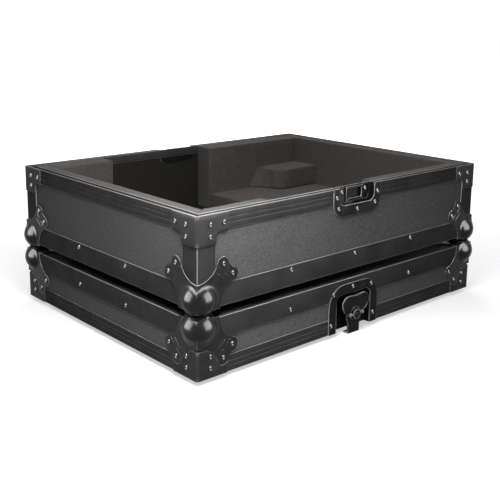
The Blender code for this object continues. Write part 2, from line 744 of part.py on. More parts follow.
def wing_mesh():
    """Folding wing of a latch, its origin on its hinge pin: a rounded plate, two lugs and the pin between them."""
    disc_back, disc_front, pin = hub_faces()[2:]
    lug_in = HUB_DISC_RADIUS + GAP
    lug_out = lug_in + WING_LUG_WIDTH
    round_top = WING_TOP - WING_SHOULDER
    right = [
        (lug_in, 0.0),
        (lug_out, 0.0),
        (WING_HALF - SHEET * 4.0, WING_SHOULDER * 0.3),
        (WING_HALF - SHEET, WING_SHOULDER * 0.65),
        *arc((WING_HALF - round_top, WING_SHOULDER), round_top, 0.0, 90.0, 6),
        (0.0, WING_TOP - SHEET),
    ]
    left = [(-x, z) for x, z in reversed(right[:-1])]
    bay = arc((0.0, 0.0), lug_in, 180.0, 0.0, 10)[1:-1]
    plate = prism([*right, *left, *bay], pin - disc_front, pin - disc_back, "Y")
    steps = []
    for low, high in ((lug_in, lug_out), (-lug_out, -lug_in)):
        steps.append(("UNION", rod(WING_LUG_RADIUS, low, high, "X", 12)))
    steps.append(("UNION", rod(WING_PIN_RADIUS, -lug_out + GAP, lug_out - GAP, "X", 12)))
    return combine(plate, steps)


def make_latches():
    """Latch dish, hook, hub and wing on the front and rear of the lid."""
    flange = (LATCH_FLANGE_HALF, LATCH_FLANGE_TOP, LATCH_FLANGE_RADIUS)
    pocket = (LATCH_POCKET_HALF, LATCH_POCKET_TOP, LATCH_POCKET_RADIUS)
    dish_mesh = dish(flange, pocket, LATCH_RIVETS)
    hook, hub, wing = hook_mesh(), hub_mesh(), wing_mesh()
    pin = hub_faces()[4]
    for face, turn in FACES.items():
        y = -DEPTH / 2.0 * math.cos(turn)
        place(f"latch_dish_{face}", dish_mesh, "steel", (0.0, y, LID_RIM_Z), turn)
        pivot = joint_empty(f"pivot_{face}", (0.0, y, LID_RIM_Z + PIVOT_HEIGHT), turn)
        place(f"latch_hook_{face}", hook, "latch", parent=pivot)
        place(f"latch_hub_{face}", hub, "latch", parent=pivot)
        place(f"latch_wing_{face}", wing, "latch", (0.0, -pin, 0.0), parent=pivot)


def block_mesh():
    """Wedge-sided foam block in the rear right corner, standing on the right floor pad."""
    right = WIDTH / 2.0 - FOAM_OUT - LINER - GAP
    rear = DEPTH / 2.0 - FOAM_OUT - REAR_FOAM - GAP
    left = right - BLOCK_WIDTH
    front = rear - BLOCK_DEPTH
    radius = BLOCK_CORNER_RADIUS
    low = PAD_TOP_Z + GAP
    builder = bmesh.new()
    loops = []
    for z, flare in ((low, BLOCK_FLARE), (low + BLOCK_HEIGHT, 0.0)):
        round_corner = arc((left + radius, front + radius), radius, 180.0, 270.0, 6)
        outline = [(left - flare, rear), *round_corner, (right, front), (right, rear)]
        loops.append([builder.verts.new((x, y, z)) for x, y in outline])
    count = len(loops[0])
    for i in range(count):
        j = (i + 1) % count
        builder.faces.new((loops[0][i], loops[0][j], loops[1][j], loops[1][i]))
    builder.faces.new(loops[0])
    builder.faces.new(loops[1])
    return mesh_of(builder)


def make_base_foam():
    """Foam round the walls, the two floor pads with the open channel between them, and the corner block."""
    low = FLOOR_TOP_Z + GAP
    high = BASE_RIM_Z - FOAM_BELOW_RIM
    wall_x = WIDTH / 2.0 - FOAM_OUT
    wall_y = DEPTH / 2.0 - FOAM_OUT
    inner_x = wall_x - LINER - GAP
    front_y = -wall_y + LINER
    rear_y = wall_y - REAR_FOAM
    pieces = {
        "foam_left_liner": ((-wall_x, -wall_y, low), (-wall_x + LINER, wall_y, high)),
        "foam_right_liner": ((wall_x - LINER, -wall_y, low), (wall_x, wall_y, high)),
        "foam_front_left": ((-inner_x, -wall_y, low), (LEFT_FOAM_END, front_y, high)),
        "foam_front_right": ((RIGHT_FOAM_START, -wall_y, low), (inner_x, front_y, high)),
        "foam_rear_left": ((-inner_x, rear_y, low), (LEFT_FOAM_END, wall_y, high)),
        "foam_rear_right": ((RIGHT_FOAM_START, rear_y, low), (inner_x, wall_y, high)),
        "foam_floor_left": ((-inner_x, front_y + GAP, low), (LEFT_FOAM_END, rear_y - GAP, PAD_TOP_Z)),
        "foam_floor_right": ((RIGHT_FOAM_START, front_y + GAP, low), (inner_x, rear_y - GAP, PAD_TOP_Z)),
    }
    for name, (near, far) in pieces.items():
        place(name, box(near, far), "foam")
    place("foam_corner_block", block_mesh(), "foam")


def main():
    """Build the whole case."""
    clear_scene()
    keeper_cutter = pocket_cutter(KEEPER_POCKET_HALF, KEEPER_POCKET_HEIGHT, KEEPER_POCKET_RADIUS)
    latch_cutter = pocket_cutter(LATCH_POCKET_HALF, LATCH_POCKET_TOP, LATCH_POCKET_RADIUS)
    make_base_boards(keeper_cutter)
    make_lid_boards(latch_cutter)
    make_edging(keeper_cutter, latch_cutter)
    make_corner_pieces()
    make_keepers()
    make_latches()
    make_base_foam()


main()
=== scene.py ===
"""Looks of the flight case: the boards keep their CAD shapes, and all metalwork and foam is modelled in full.

Metres, in the frame of the CAD. Each stamped part is worked out once in its own frame, then set in place:
  corner frame    origin at the outer corner of the metal edging, +X, +Y and +Z pointing into the case
  face frame      X along the front, Y into the case from the metal edging, Z away from the open rim
"""

import math

import bpy
import numpy as np
from mathutils import Matrix, Vector


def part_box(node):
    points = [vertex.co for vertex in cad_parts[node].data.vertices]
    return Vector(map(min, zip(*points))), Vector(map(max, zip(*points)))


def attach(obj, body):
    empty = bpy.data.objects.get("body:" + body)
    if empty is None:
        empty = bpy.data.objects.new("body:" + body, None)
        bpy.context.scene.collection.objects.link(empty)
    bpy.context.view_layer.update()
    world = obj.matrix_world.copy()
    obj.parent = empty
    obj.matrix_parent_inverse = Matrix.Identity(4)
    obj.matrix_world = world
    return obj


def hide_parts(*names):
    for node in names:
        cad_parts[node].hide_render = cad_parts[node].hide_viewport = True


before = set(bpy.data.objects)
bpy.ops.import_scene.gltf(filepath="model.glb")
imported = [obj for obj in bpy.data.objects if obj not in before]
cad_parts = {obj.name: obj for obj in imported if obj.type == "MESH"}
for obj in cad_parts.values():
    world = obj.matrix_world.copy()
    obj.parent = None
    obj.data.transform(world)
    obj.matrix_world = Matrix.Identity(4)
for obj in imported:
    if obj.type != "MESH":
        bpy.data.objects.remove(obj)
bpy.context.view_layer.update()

MM = 0.001


def mm(*values):
    """Values in millimetres as a tuple in metres."""
    return tuple(value * MM for value in values)


# Body of the case, over the metal edging
WIDTH, DEPTH, LID_HEIGHT, BASE_HEIGHT = mm(500.0, 375.0, 67.2, 105.4)
LID_RIM_Z, BASE_FLOOR_Z = mm(5.4, 84.3)
LID_TOP_Z = LID_RIM_Z + LID_HEIGHT
BASE_RIM_Z = BASE_FLOOR_Z + BASE_HEIGHT

# Sheet metal: how far stamped plates stand off the edging, thickness, rolled edge; and a board's middle
GAP, SHEET, ROLL, HALF_BOARD = mm(0.3, 1.2, 0.35, 3.0)
FACE = GAP + SHEET

# Edging
EDGE_LEG = 25.5 * MM
RIM_HEIGHT, RIM_INNER_HEIGHT, RIM_WIDTH = mm(20.0, 12.0, 10.0)
RIM_LIP, RIM_GROOVE, LID_RIM_WEB = mm(2.0, 3.0, 2.0)
RIM_LINES, RIM_LINE_CUT = mm(7.2, 12.8), mm(0.4, 0.8)
KEEPER_NOTCH, LATCH_NOTCH, LATCH_NOTCH_TOP = mm(33.3, 32.8, 49.5)
NOTCH_FACE, STRIP_LAP = mm(8.9, 0.4)

# Ball corners: the ball, the outline of a wing, and ribs as (place, shift along them, half length)
BALL_RADIUS, BALL_CENTRE, BALL_FILLET = mm(19.6, 10.1, 3.2)
BALL_FOOT, FOOT_FILLET = mm(5.7, 1.0)
WING_NECK, WING_BAY_RADIUS, WING_HEART = mm(30.7, 28.6, 16.6)
WING_WAIST, WING_FILLET = mm(2.3, 1.5)
WING_RIVET = mm(34.9, 47.8)
RIBS = (mm(32.5, 0.0, 8.0), mm(36.9, 6.8, 5.5), mm(36.9, -6.8, 5.5))
RIB_HALF, RIB_HEIGHT = mm(1.0, 0.32)

# Rim brackets
BRACKET_LONG, BRACKET_LONG_HEIGHT, BRACKET_HEIGHT = mm(41.5, 20.9, 34.1)
BRACKET_FILLET, BRACKET_FOLD = mm(6.0, 3.2)
BRACKET_RIVETS = (mm(16.6, 11.8), mm(16.6, 25.0), mm(35.3, 11.8))

# Rivets: shares of the radius and heights, from the foot to the dimple in the middle
RIVET_RADIUS, RIVET_SIDES = 3.3 * MM, 14
RIVET_SHARES = (1.0, 1.0, 0.9, 0.68, 0.48, 0.40, 0.12)
RIVET_HEIGHTS = mm(-0.3, 0.25, 0.75, 1.12, 1.3, 1.2, 0.55)
BASE_RIVET_LINE, LID_RIVET_LINE = mm(19.5, 17.5)
LONG_RIVET_PITCH, SHORT_RIVET_PITCH = mm(111.0, 104.0)

# Dishes: half width, height and corner radius of the flange and of the pocket, and the places of the rivets
LATCH_FLANGE = mm(45.0, 61.0, 26.0)
LATCH_POCKET = mm(31.3, 48.0, 9.5)
LATCH_RIVETS = (mm(-38.5, 51.7), mm(-3.0, 55.9), mm(32.0, 52.3), mm(-41.5, 12.1), mm(37.0, 12.3))
KEEPER_FLANGE = mm(42.7, 35.4, 17.7)
KEEPER_POCKET = mm(31.8, 21.6, 9.4)
KEEPER_RIVETS = (mm(-37.5, 11.2), mm(37.5, 11.6), mm(-34.0, 25.0), mm(0.0, 29.0), mm(33.0, 25.0))
POCKET_DEPTH, POCKET_LIP, POCKET_ROUND = mm(7.3, 0.8, 2.2)

# Strike plate, with its window as (half width, top, foot)
STRIKE_INSET, STRIKE_TOP, STRIKE_HEIGHT = mm(3.1, 0.8, 18.4)
STRIKE_HALF, STRIKE_EAR_HALF = mm(15.6, 27.0)
STRIKE_WINDOW = mm(12.5, 3.1, 15.0)
STRIKE_RIVET = mm(21.4, 6.7)

# Latch, from its pivot: the hook with its slot as (half width, length), the hub, and the wing with its lugs
PIVOT = 20.3 * MM
HOOK_BACK, HOOK_FRONT = mm(0.3, 2.8)
HOOK_FOOT, HOOK_SHOULDER, HOOK_HEAD = mm(25.7, 6.3, 14.3)
HOOK_FOOT_HALF, HOOK_SHOULDER_HALF = mm(10.3, 13.5)
HOOK_LIP, HOOK_LIP_IN = mm(2.0, 5.7)
HOOK_TAPER, HOOK_SLOT = mm(0.4, 6.0), mm(3.3, 8.0)
DISC_BACK, DISC_FRONT, DISC_RADIUS = mm(3.1, 4.6, 8.8)
BOSS_RADIUS, BOSS_FRONT = mm(6.6, 8.0)
BOSS_RINGS = mm(4.6, 2.6)
SHAFT_RADIUS, SHAFT_IN = mm(3.0, 7.0)
PIN_OUT, PIN_RADIUS = mm(5.9, 1.0)
WING_HALF, WING_SHOULDER, WING_LOBE = mm(24.8, 14.3, 13.5)
WING_SIDE = (mm(20.0, 4.3), mm(23.6, 9.3))
WING_TOP = (mm(5.0, 24.9), mm(0.0, 24.4), mm(-5.0, 24.9))
WING_CURL, WING_CURL_SPAN = 1.1 * MM, mm(4.0, 6.0)
LUG_IN, LUG_OUT, LUG_RADIUS = mm(9.1, 12.9, 2.4)

# Foam
FOAM_ROUND, FOAM_SWELL, FOAM_STEP, LID_FOAM_STEP = mm(2.0, 0.22, 5.0, 9.0)
BLOCK_ROUND, BLOCK_FLARE = mm(18.0, 20.0)

# Paints: dark and light colour, each (red and green, blue), roughness, strength of the peel, gloss, and the
# grey of the painted highlight on rounded edges
PAINTS = {
    "steel": ((0.006, 0.0062), (0.010, 0.0103), (0.21, 0.27), 0.06, 0.085, 0.14),
    "bracket_steel": ((0.019, 0.0195), (0.026, 0.0265), (0.28, 0.34), 0.04, 0.035, 0.13),
    "rivet_steel": ((0.014, 0.0145), (0.022, 0.0225), (0.14, 0.22), 0.02, 0.19, 0.14),
    "latch_steel": ((0.004, 0.0042), (0.007, 0.0072), (0.20, 0.28), 0.06, 0.035, 0.19),
}

# Painted highlight on rounded edges, by curvature: where it starts and over how much it grows, and where it
# ends and over how much it fades
HIGHLIGHT_GROWS = (250.0, 500.0)
HIGHLIGHT_FADES = (13000.0, 8000.0)

# Lamps: azimuth, elevation, distance, size and watts. A light lights surfaces, a box only shows in gloss
LAMPS = {
    "key_light": (30.0, 69.0, 0.37, 0.27, 4.3),
    "left_light": (95.0, 38.0, 1.3, 1.0, 0.1),
    "right_light": (-15.0, 38.0, 1.3, 1.0, 0.25),
    "back_light": (-140.0, 12.0, 1.9, 1.0, 18.0),
    "top_light": (-128.0, 58.0, 0.95, 0.5, 3.2),
    "left_box": (118.0, 20.0, 1.0, 0.86, 115.0),
    "right_box": (-30.0, 20.0, 1.0, 0.86, 115.0),
    "left_rim_box": (168.0, 48.0, 1.3, 0.36, 70.0),
    "right_rim_box": (-84.0, 48.0, 1.3, 0.36, 70.0),
}
WORLD_LEVEL = 0.055

# Floor: half its side, its grey, and its glow, which grows from a level at one radius to white at another
FLOOR_HALF = 6.0
FLOOR_GREY = 0.55
FLOOR_GLOW = 0.52
FLOOR_RADII = (0.2, 1.1)

WHITE = (1.0, 1.0, 1.0, 1.0)
# Corners and sides of the case by their signs in X and Y
CORNERS = {"front_left": (-1, -1), "front_right": (1, -1), "rear_left": (-1, 1), "rear_right": (1, 1)}
FACES = {"front": (0, -1), "rear": (0, 1)}
ENDS = {"left": (-1, 0), "right": (1, 0)}

# Levels that parts stand on: the height, and -1 where the part's Z points down
BASE_FLOOR, BASE_RIM = (BASE_FLOOR_Z, 1), (BASE_RIM_Z, -1)
LID_TOP, LID_RIM = (LID_TOP_Z, -1), (LID_RIM_Z, 1)


# ---------------- surfaces


def stacked(*parts):
    """Points from their coordinates, each an array or a number for all of them."""
    return np.stack(np.broadcast_arrays(*parts), axis=-1)


def on_plane(flat, axis, depth):
    """Points of the corner frame from places on the plane across an axis and a depth along the axis."""
    points = np.empty((*flat.shape[:-1], 3))
    points[..., axis] = depth
    points[..., (axis + 1) % 3] = flat[..., 0]
    points[..., (axis + 2) % 3] = flat[..., 1]
    return points


def unit(vectors):
    """Each vector over its length."""
    return vectors / np.linalg.norm(vectors, axis=-1, keepdims=True)


def shell(points, quads, caps=()):
    """A closed surface: its points, its four-sided faces and its many-sided caps."""
    return {
        "points": np.asarray(points, float).reshape(-1, 3),
        "quads": np.asarray(quads, int).reshape(-1, 4),
        "caps": [np.asarray(cap, int) for cap in caps],
    }


def grid_faces(index, wrap_rows=False, wrap_columns=False):
    """Four-sided faces between neighbouring rows and columns of a grid of point numbers."""
    if wrap_rows:
        index = np.vstack([index, index[:1]])
    if wrap_columns:
        index = np.hstack([index, index[:, :1]])
    return stacked(index[:-1, :-1], index[:-1, 1:], index[1:, 1:], index[1:, :-1]).reshape(-1, 4)


def numbered(grid):
    """Point numbers of a grid of points, in its own rows and columns."""
    return np.arange(grid.shape[0] * grid.shape[1]).reshape(grid.shape[:2])


def loft(rings, closed=False):
    """Rings of points joined one to the next, the end rings capped, or joined to each other if closed."""
    rings = np.asarray(rings, float)
    index = numbered(rings)
    caps = () if closed else (index[0][::-1], index[-1])
    return shell(rings, grid_faces(index, closed, True), caps)


def slab(front, back, floor=False):
    """Skin of a sheet from two grids of one size, joined by a band of faces round their open edge.

    With a floor, the last row isn't part of the open edge, and a flat cap closes each grid's last row.
    """
    index = numbered(front)
    size = index.size
    low = index[-1, -1:] if floor else index[-1, :0:-1]
    edge = np.concatenate([index[0], index[1:-1, -1], low, index[:0:-1, 0]])
    band = grid_faces(np.stack([edge + size, edge]), wrap_columns=True)
    quads = np.concatenate([grid_faces(index), grid_faces(index)[:, ::-1] + size, band])
    caps = (index[-1], index[-1][::-1] + size) if floor else ()
    return shell(np.concatenate([front.reshape(-1, 3), back.reshape(-1, 3)]), quads, caps)


def weld(part):
    """The same shell with points that share a place made one, to a tenth of a micrometre."""
    places, index = np.unique(np.round(part["points"], 7), axis=0, return_inverse=True)
    index = index.reshape(-1)
    return shell(places, index[part["quads"]], [index[cap] for cap in part["caps"]])


def joined(parts):
    """One shell from several, their point numbers following on."""
    starts = np.cumsum([0] + [len(part["points"]) for part in parts])
    points = np.concatenate([part["points"] for part in parts])
    quads = np.concatenate([part["quads"] + start for part, start in zip(parts, starts)])
    caps = [cap + start for part, start in zip(parts, starts) for cap in part["caps"]]
    return shell(points, quads, caps)


def outward(part):
    """The same shell, turned round if its signed volume is negative.

    The volume is a sixth of the summed triple products of the triangles that fan out from each face's first
    point.
    """
    points = part["points"] - part["points"].mean(axis=0)
    quads = part["quads"]
    fans = [quads[:, [0, 1, 2]], quads[:, [0, 2, 3]]]
    fans += [stacked(cap[0], cap[1:-1], cap[2:]) for cap in part["caps"]]
    a, b, c = np.moveaxis(points[np.concatenate(fans)], 1, 0)
    if (a * np.cross(b, c)).sum() < 0.0:
        return shell(part["points"], quads[:, ::-1], [cap[::-1] for cap in part["caps"]])
    return part


def moved(part, scale, offset):
    """A shell whose points are multiplied by a sign for each axis and then shifted."""
    return shell(part["points"] * scale + offset, part["quads"], part["caps"])


def placed(parts, place, level):
    """Shells of the corner frame, brought to a named corner, or of the face frame, brought to a named side.

    They are turned by signs: X by the place's own, or at the front and rear by that of Y, and Y by its own.
    """
    (x_sign, y_sign), (z, rise) = {**CORNERS, **FACES, **ENDS}[place], level
    scale = (-(x_sign or y_sign), -y_sign or 1, rise)
    return [moved(part, scale, (x_sign * WIDTH / 2.0, y_sign * DEPTH / 2.0, z)) for part in parts]


def stand(outline, depth):
    """Points of the face frame from an outline in X and Z and a depth."""
    return stacked(outline[..., 0], depth, outline[..., 1])


# ---------------- outlines


def arc(centre, radius, start, end, steps):
    """Points of a circle from one angle in degrees to another, both ends included."""
    angle = np.radians(np.linspace(start, end, steps + 1))
    return centre + radius * stacked(np.cos(angle), np.sin(angle))


def rounded(corners, radii, steps):
    """Closed outline with rounded corners.

    Each arc's centre lies on its corner's bisector at the radius over the sine of half the corner. The arc
    sweeps evenly in angle from the foot of the perpendicular on one side to the foot on the other.
    """
    corner = np.asarray(corners, float)
    radius = np.broadcast_to(np.asarray(radii, float), len(corner))[:, None]
    back = unit(np.roll(corner, 1, axis=0) - corner)
    ahead = unit(np.roll(corner, -1, axis=0) - corner)
    half = 0.5 * np.arccos(np.clip((back * ahead).sum(axis=1, keepdims=True), -1.0, 1.0))
    centre = corner + unit(back + ahead) * radius / np.sin(half)
    first = unit(corner + back * radius / np.tan(half) - centre)[:, None]
    last = unit(corner + ahead * radius / np.tan(half) - centre)[:, None]
    sweep = (math.pi - 2.0 * half)[:, None]
    share = np.linspace(0.0, 1.0, steps + 1)[None, :, None]
    way = (np.sin((1.0 - share) * sweep) * first + np.sin(share * sweep) * last) / np.sin(sweep)
    return (centre[:, None] + radius[:, None] * way).reshape(-1, 2)


def oblong(left, low, right, high, radius, steps=3):
    """Rectangle with rounded corners."""
    return rounded([(left, low), (right, low), (right, high), (left, high)], radius, steps)


def inset(outline, distance):
    """A closed outline moved in by a distance, or out by a negative one.

    Each point moves along the sum of its two sides' inward normals over one plus their product, which keeps
    every side parallel to itself. The inward side is the one that the outline's signed area names.
    """
    ahead = unit(np.roll(outline, -1, axis=0) - outline)
    x, y = outline.T
    turn = np.sign((x * np.roll(y, -1) - y * np.roll(x, -1)).sum())
    normal = turn * stacked(-ahead[:, 1], ahead[:, 0])
    before = np.roll(normal, 1, axis=0)
    return outline + distance * (before + normal) / (1.0 + (before * normal).sum(axis=1, keepdims=True))


def rolled(radius, steps=3):
    """(inset, drop) of a rolled edge: the radius times one less the sine and the cosine of a quarter turn."""
    angle = np.linspace(0.0, math.pi / 2.0, steps + 1)
    return radius * (1.0 - stacked(np.sin(angle), np.cos(angle)))


def roll_off(near):
    """Drop of a rolled edge at a distance from it: a quarter circle of the sheet's roll."""
    return ROLL - np.sqrt(ROLL**2 - np.clip(ROLL - near, 0.0, ROLL) ** 2)


def front_rings(outline, front, way, roll):
    """Rings of a plate's rolled front edge, from its side to its face: the outline moved in and forwards."""
    return [stand(inset(outline, gone), front - way * fall) for gone, fall in rolled(roll)[::-1]]


def plate(outline, back, front, roll):
    """Flat sheet in the face frame, from a back depth to a front depth, with its front edge rolled over."""
    rings = [stand(outline, back), *front_rings(outline, front, math.copysign(1.0, front - back), roll)]
    rings.append(stand(inset(outline, 2.0 * roll), front))
    return loft(rings)


def ring_plate(outer, inner, back, front):
    """Flat sheet with a hole: two matching outlines, joined over the front, the hole and the back."""
    way = math.copysign(1.0, front - back)
    rings = [stand(outer, back), *front_rings(outer, front, way, ROLL)]
    rings += [stand(inset(inner, -gone), front - way * fall) for gone, fall in rolled(ROLL)]
    rings.append(stand(inner, back))
    return loft(rings, closed=True)


def divided(outline, step):
    """A closed outline with its long sides divided evenly, into steps no longer than the one given."""
    after = np.roll(outline, -1, axis=0)
    counts = np.maximum(np.ceil(np.linalg.norm(after - outline, axis=1) / step).astype(int), 1)
    start = np.repeat(outline, counts, axis=0)
    before = np.repeat(np.cumsum(counts) - counts, counts)
    share = (np.arange(counts.sum()) - before) / np.repeat(counts, counts)
    return start + share[:, None] * (np.repeat(after, counts, axis=0) - start)


def seen_from(centre, outer, hole):
    """Points of a hole's outline in the directions of an outer outline's points, seen from a centre."""
    angles = [np.arctan2(*(shape - centre).T[::-1]) for shape in (outer, hole)]
    reach = np.interp(angles[0], angles[1], np.linalg.norm(hole - centre, axis=1), period=math.tau)
    return centre + reach[:, None] * stacked(np.cos(angles[0]), np.sin(angles[0]))


def turned(profile, sides, x, z):
    """Solid of revolution round an axis into the case: profile rows are (radius, depth)."""
    radius, depth = np.array(profile).T
    angle = np.linspace(0.0, math.tau, sides, endpoint=False)
    across, up = radius[:, None] * np.cos(angle), radius[:, None] * np.sin(angle)
    return loft(stacked(x + across, depth[:, None], z + up))


# ---------------- finishes


def fill(tree, node, inputs):
    """Gives each named or numbered input of a node a value or another node's output."""
    for name, value in inputs.items():
        if isinstance(value, bpy.types.NodeSocket):
            tree.links.new(value, node.inputs[name])
        else:
            node.inputs[name].default_value = value


def add_node(tree, kind, inputs, **settings):
    """The outputs of a new node of a kind, with its settings and inputs."""
    node = tree.nodes.new(f"ShaderNode{kind}")
    for name, value in settings.items():
        setattr(node, name, value)
    fill(tree, node, inputs)
    return node.outputs


def new_finish(name, colour, roughness, specular):
    """A Principled material, and its node tree, shader and Object coordinates."""
    material = bpy.data.materials.new(name)
    material.use_nodes = True
    material.diffuse_color = (*colour, 1.0)
    tree = material.node_tree
    shader = tree.nodes["Principled BSDF"]
    fill(tree, shader, {
        "Base Color": (*colour, 1.0),
        "Metallic": 0.0,
        "Roughness": roughness,
        "Specular IOR Level": specular,
    })
    return material, tree, shader, add_node(tree, "TexCoord", {})["Object"]


def noise(tree, place, scale, detail=2.0, roughness=0.5, stretch=None):
    """Noise of a number of cells to the metre, stretched along the axes if asked."""
    if stretch:
        place = add_node(tree, "Mapping", {"Vector": place, "Scale": stretch})["Vector"]
    inputs = {"Vector": place, "Scale": scale, "Detail": detail, "Roughness": roughness}
    return add_node(tree, "TexNoise", inputs)["Fac"]


def cells(tree, place, scale):
    """Distance to the nearest of scattered points, a number of them to the metre."""
    return add_node(tree, "TexVoronoi", {"Vector": place, "Scale": scale})["Distance"]


def ranged(tree, value, start, end, low, high):
    """A value's range from a start to an end, mapped to another range and held within it."""
    inputs = {"Value": value, "From Min": start, "From Max": end, "To Min": low, "To Max": high}
    return add_node(tree, "MapRange", inputs)["Result"]


def spread(tree, value, low=0.0, high=1.0):
    """A noise's usual range, 0.3 to 0.7, mapped to another range."""
    return ranged(tree, value, 0.3, 0.7, low, high)


def mixed(tree, share, first, second):
    """The first colour where a share is 0 and the second where it is 1."""
    return add_node(tree, "Mix", {"Factor": share, "A": first, "B": second}, data_type="RGBA")["Result"]


def tint(tree, value, dark, light, worn=None):
    """Colour between two colours, by a value from 0 to 1, and a lighter third one on rounded edges, as a
    painted highlight.
    """
    ramp = tree.nodes.new("ShaderNodeValToRGB")
    for element, colour in zip(ramp.color_ramp.elements, (dark, light)):
        element.color = (*colour, 1.0)
    fill(tree, ramp, {"Fac": value})
    if worn:
        # Rounded edges take the lighter grey as a painted highlight.
        painted_highlight = add_node(tree, "Attribute", {}, attribute_name="painted_highlight")["Fac"]
        return mixed(tree, painted_highlight, ramp.outputs["Color"], (*worn, 1.0))
    return ramp.outputs["Color"]


def bump(tree, *heights):
    """Normal with bumps one on another: each height is (value, strength, distance)."""
    inputs = {}
    for value, strength, distance in heights:
        inputs |= {"Height": value, "Strength": strength, "Distance": distance}
        inputs["Normal"] = add_node(tree, "Bump", inputs)["Normal"]
    return inputs["Normal"]


def outer_faces_not_painted_shade(tree, place):
    """1 on the outer faces of the boards and 0 on their inner faces, which take the laminate's painted shade.

    A face is an outer one beyond the middle of a wall, or between the middles of the lid's top board and the
    base's floor board.
    """
    middle = SHEET + HALF_BOARD
    walls = (WIDTH / 2.0 - middle, DEPTH / 2.0 - middle, (BASE_FLOOR_Z - LID_TOP_Z) / 2.0 + middle)
    for operation, values in (
        ("SUBTRACT", (0.0, 0.0, (BASE_FLOOR_Z + LID_TOP_Z) / 2.0)),
        ("ABSOLUTE", (0.0, 0.0, 0.0)),
        ("SUBTRACT", walls),
        ("MULTIPLY", (1.0, 1.0, -1.0)),
    ):
        place = add_node(tree, "VectorMath", {0: place, 1: values}, operation=operation)["Vector"]
    apart = add_node(tree, "SeparateXYZ", {0: place})
    beyond = apart["X"]
    for operation, other in (("MAXIMUM", apart["Y"]), ("MAXIMUM", apart["Z"]), ("GREATER_THAN", 0.0)):
        beyond = add_node(tree, "Math", {0: beyond, 1: other}, operation=operation)[0]
    return beyond


def make_laminate():
    """Charcoal laminate on plywood, its grain leather-like and faintly clouded. Inner faces are painted
    near-black, as painted shade of the case's inside.
    """
    material, tree, shader, place = new_finish("laminate", (0.098, 0.098, 0.100), 0.48, 0.001)
    grain = noise(tree, place, 620.0, 3.0, 0.6)
    colour = tint(tree, spread(tree, grain), (0.066, 0.066, 0.068), (0.134, 0.134, 0.136))
    fill(tree, shader, {
        # Inner faces get a near-black: painted shade of the inside of the case.
        "Base Color": mixed(tree, outer_faces_not_painted_shade(tree, place), (0.020, 0.019, 0.018, 1.0), colour),
        "Roughness": spread(tree, noise(tree, place, 14.0, 3.0, 0.55), 0.44, 0.52),
        "Normal": bump(tree, (cells(tree, place, 950.0), 0.35, 0.0003), (grain, 0.30, 0.0003)),
    })
    return material


def make_edging():
    """Satin black anodised aluminium, with the faint grain of rolling, and a painted highlight on its rounded
    edges.
    """
    material, tree, shader, place = new_finish("edging", (0.038, 0.038, 0.0385), 0.28, 0.004)
    grain, cloud = noise(tree, place, 700.0, 3.0, 0.6), spread(tree, noise(tree, place, 30.0))
    fill(tree, shader, {
        # The last grey colours the rounded edges lighter, as a painted highlight.
        "Base Color": tint(tree, cloud, (0.032, 0.032, 0.0325), (0.045, 0.045, 0.0455), (0.27, 0.27, 0.275)),
        "Roughness": spread(tree, grain, 0.25, 0.32),
        "Normal": bump(tree, (grain, 0.10, 0.0002)),
    })
    return material


def make_paint(name, dark, light, roughness, peel, gloss, worn):
    """Glossy black paint on steel, with the slight unevenness of a sprayed coat, and a painted highlight on
    its rounded edges.
    """
    dark, light = ((grey, grey, blue) for grey, blue in (dark, light))
    material, tree, shader, place = new_finish(name, dark, sum(roughness) / 2.0, gloss)
    cloud = noise(tree, place, 60.0, 3.0, 0.6)
    fill(tree, shader, {
        # The last grey colours the rounded edges lighter, as a painted highlight.
        "Base Color": tint(tree, spread(tree, cloud), dark, light, (worn, worn, 1.02 * worn)),
        "Roughness": spread(tree, cloud, *roughness),
        "Normal": bump(tree, (noise(tree, place, 260.0), peel, 0.0003)),
    })
    return material


def make_foam():
    """Closed-cell foam: dull, slightly warm grey, with pores and the drag marks of the cutting wire."""
    material, tree, shader, place = new_finish("foam", (0.074, 0.070, 0.067), 0.95, 0.001)
    grain = noise(tree, place, 420.0, 4.0, 0.65)
    drag = noise(tree, place, 60.0, stretch=(1.0, 1.0, 5.0))
    pores = cells(tree, place, 1100.0)
    fill(tree, shader, {
        "Base Color": tint(tree, spread(tree, grain), (0.050, 0.0472, 0.0455), (0.086, 0.081, 0.0775)),
        "Sheen Weight": 0.05,
        "Sheen Roughness": 0.5,
        "Sheen Tint": (0.95, 0.90, 0.86, 1.0),
        "Normal": bump(tree, (pores, 0.35, 0.0004), (grain, 0.30, 0.0005), (drag, 0.12, 0.002)),
    })
    return material


FINISHES = {"laminate": make_laminate(), "edging": make_edging(), "foam": make_foam()}
FINISHES |= {name: make_paint(name, *values) for name, values in PAINTS.items()}


def add_object(name, data):
    """A new object of the scene."""
    thing = bpy.data.objects.new(name, data)
    bpy.context.scene.collection.objects.link(thing)
    return thing


def add_painted_highlight(mesh):
    """Painted highlight of a mesh's rounded edges, from 0 to 1, as a number on its points.

    An edge's curvature is the change of normal along it over its length. A point takes the second largest of
    its edges' curvatures, which is nothing where a rounding runs out into a flat. Roundings of less than a
    fifth of a millimetre, such as the shoulders of the rolled lines, get less of the painted highlight.
    """
    points, normals = np.empty((2, len(mesh.vertices), 3))
    mesh.vertices.foreach_get("co", points.ravel())
    mesh.vertices.foreach_get("normal", normals.ravel())
    ends = np.empty((len(mesh.edges), 2), int)
    mesh.edges.foreach_get("vertices", ends.ravel())
    way, turn = (values[ends[:, 1]] - values[ends[:, 0]] for values in (points, normals))
    curvature = np.maximum((way * turn).sum(axis=1) / (way * way).sum(axis=1), 0.0)
    total, largest = np.zeros((2, len(points)))
    for side in (0, 1):
        np.add.at(total, ends[:, side], curvature)
        np.maximum.at(largest, ends[:, side], curvature)
    second = total - largest
    grown = np.clip((second - HIGHLIGHT_GROWS[0]) / HIGHLIGHT_GROWS[1], 0.0, 1.0)
    left = np.clip((HIGHLIGHT_FADES[0] - second) / HIGHLIGHT_FADES[1], 0.0, 1.0)
    mesh.attributes.new("painted_highlight", "FLOAT", "POINT").data.foreach_set("value", grown * left)


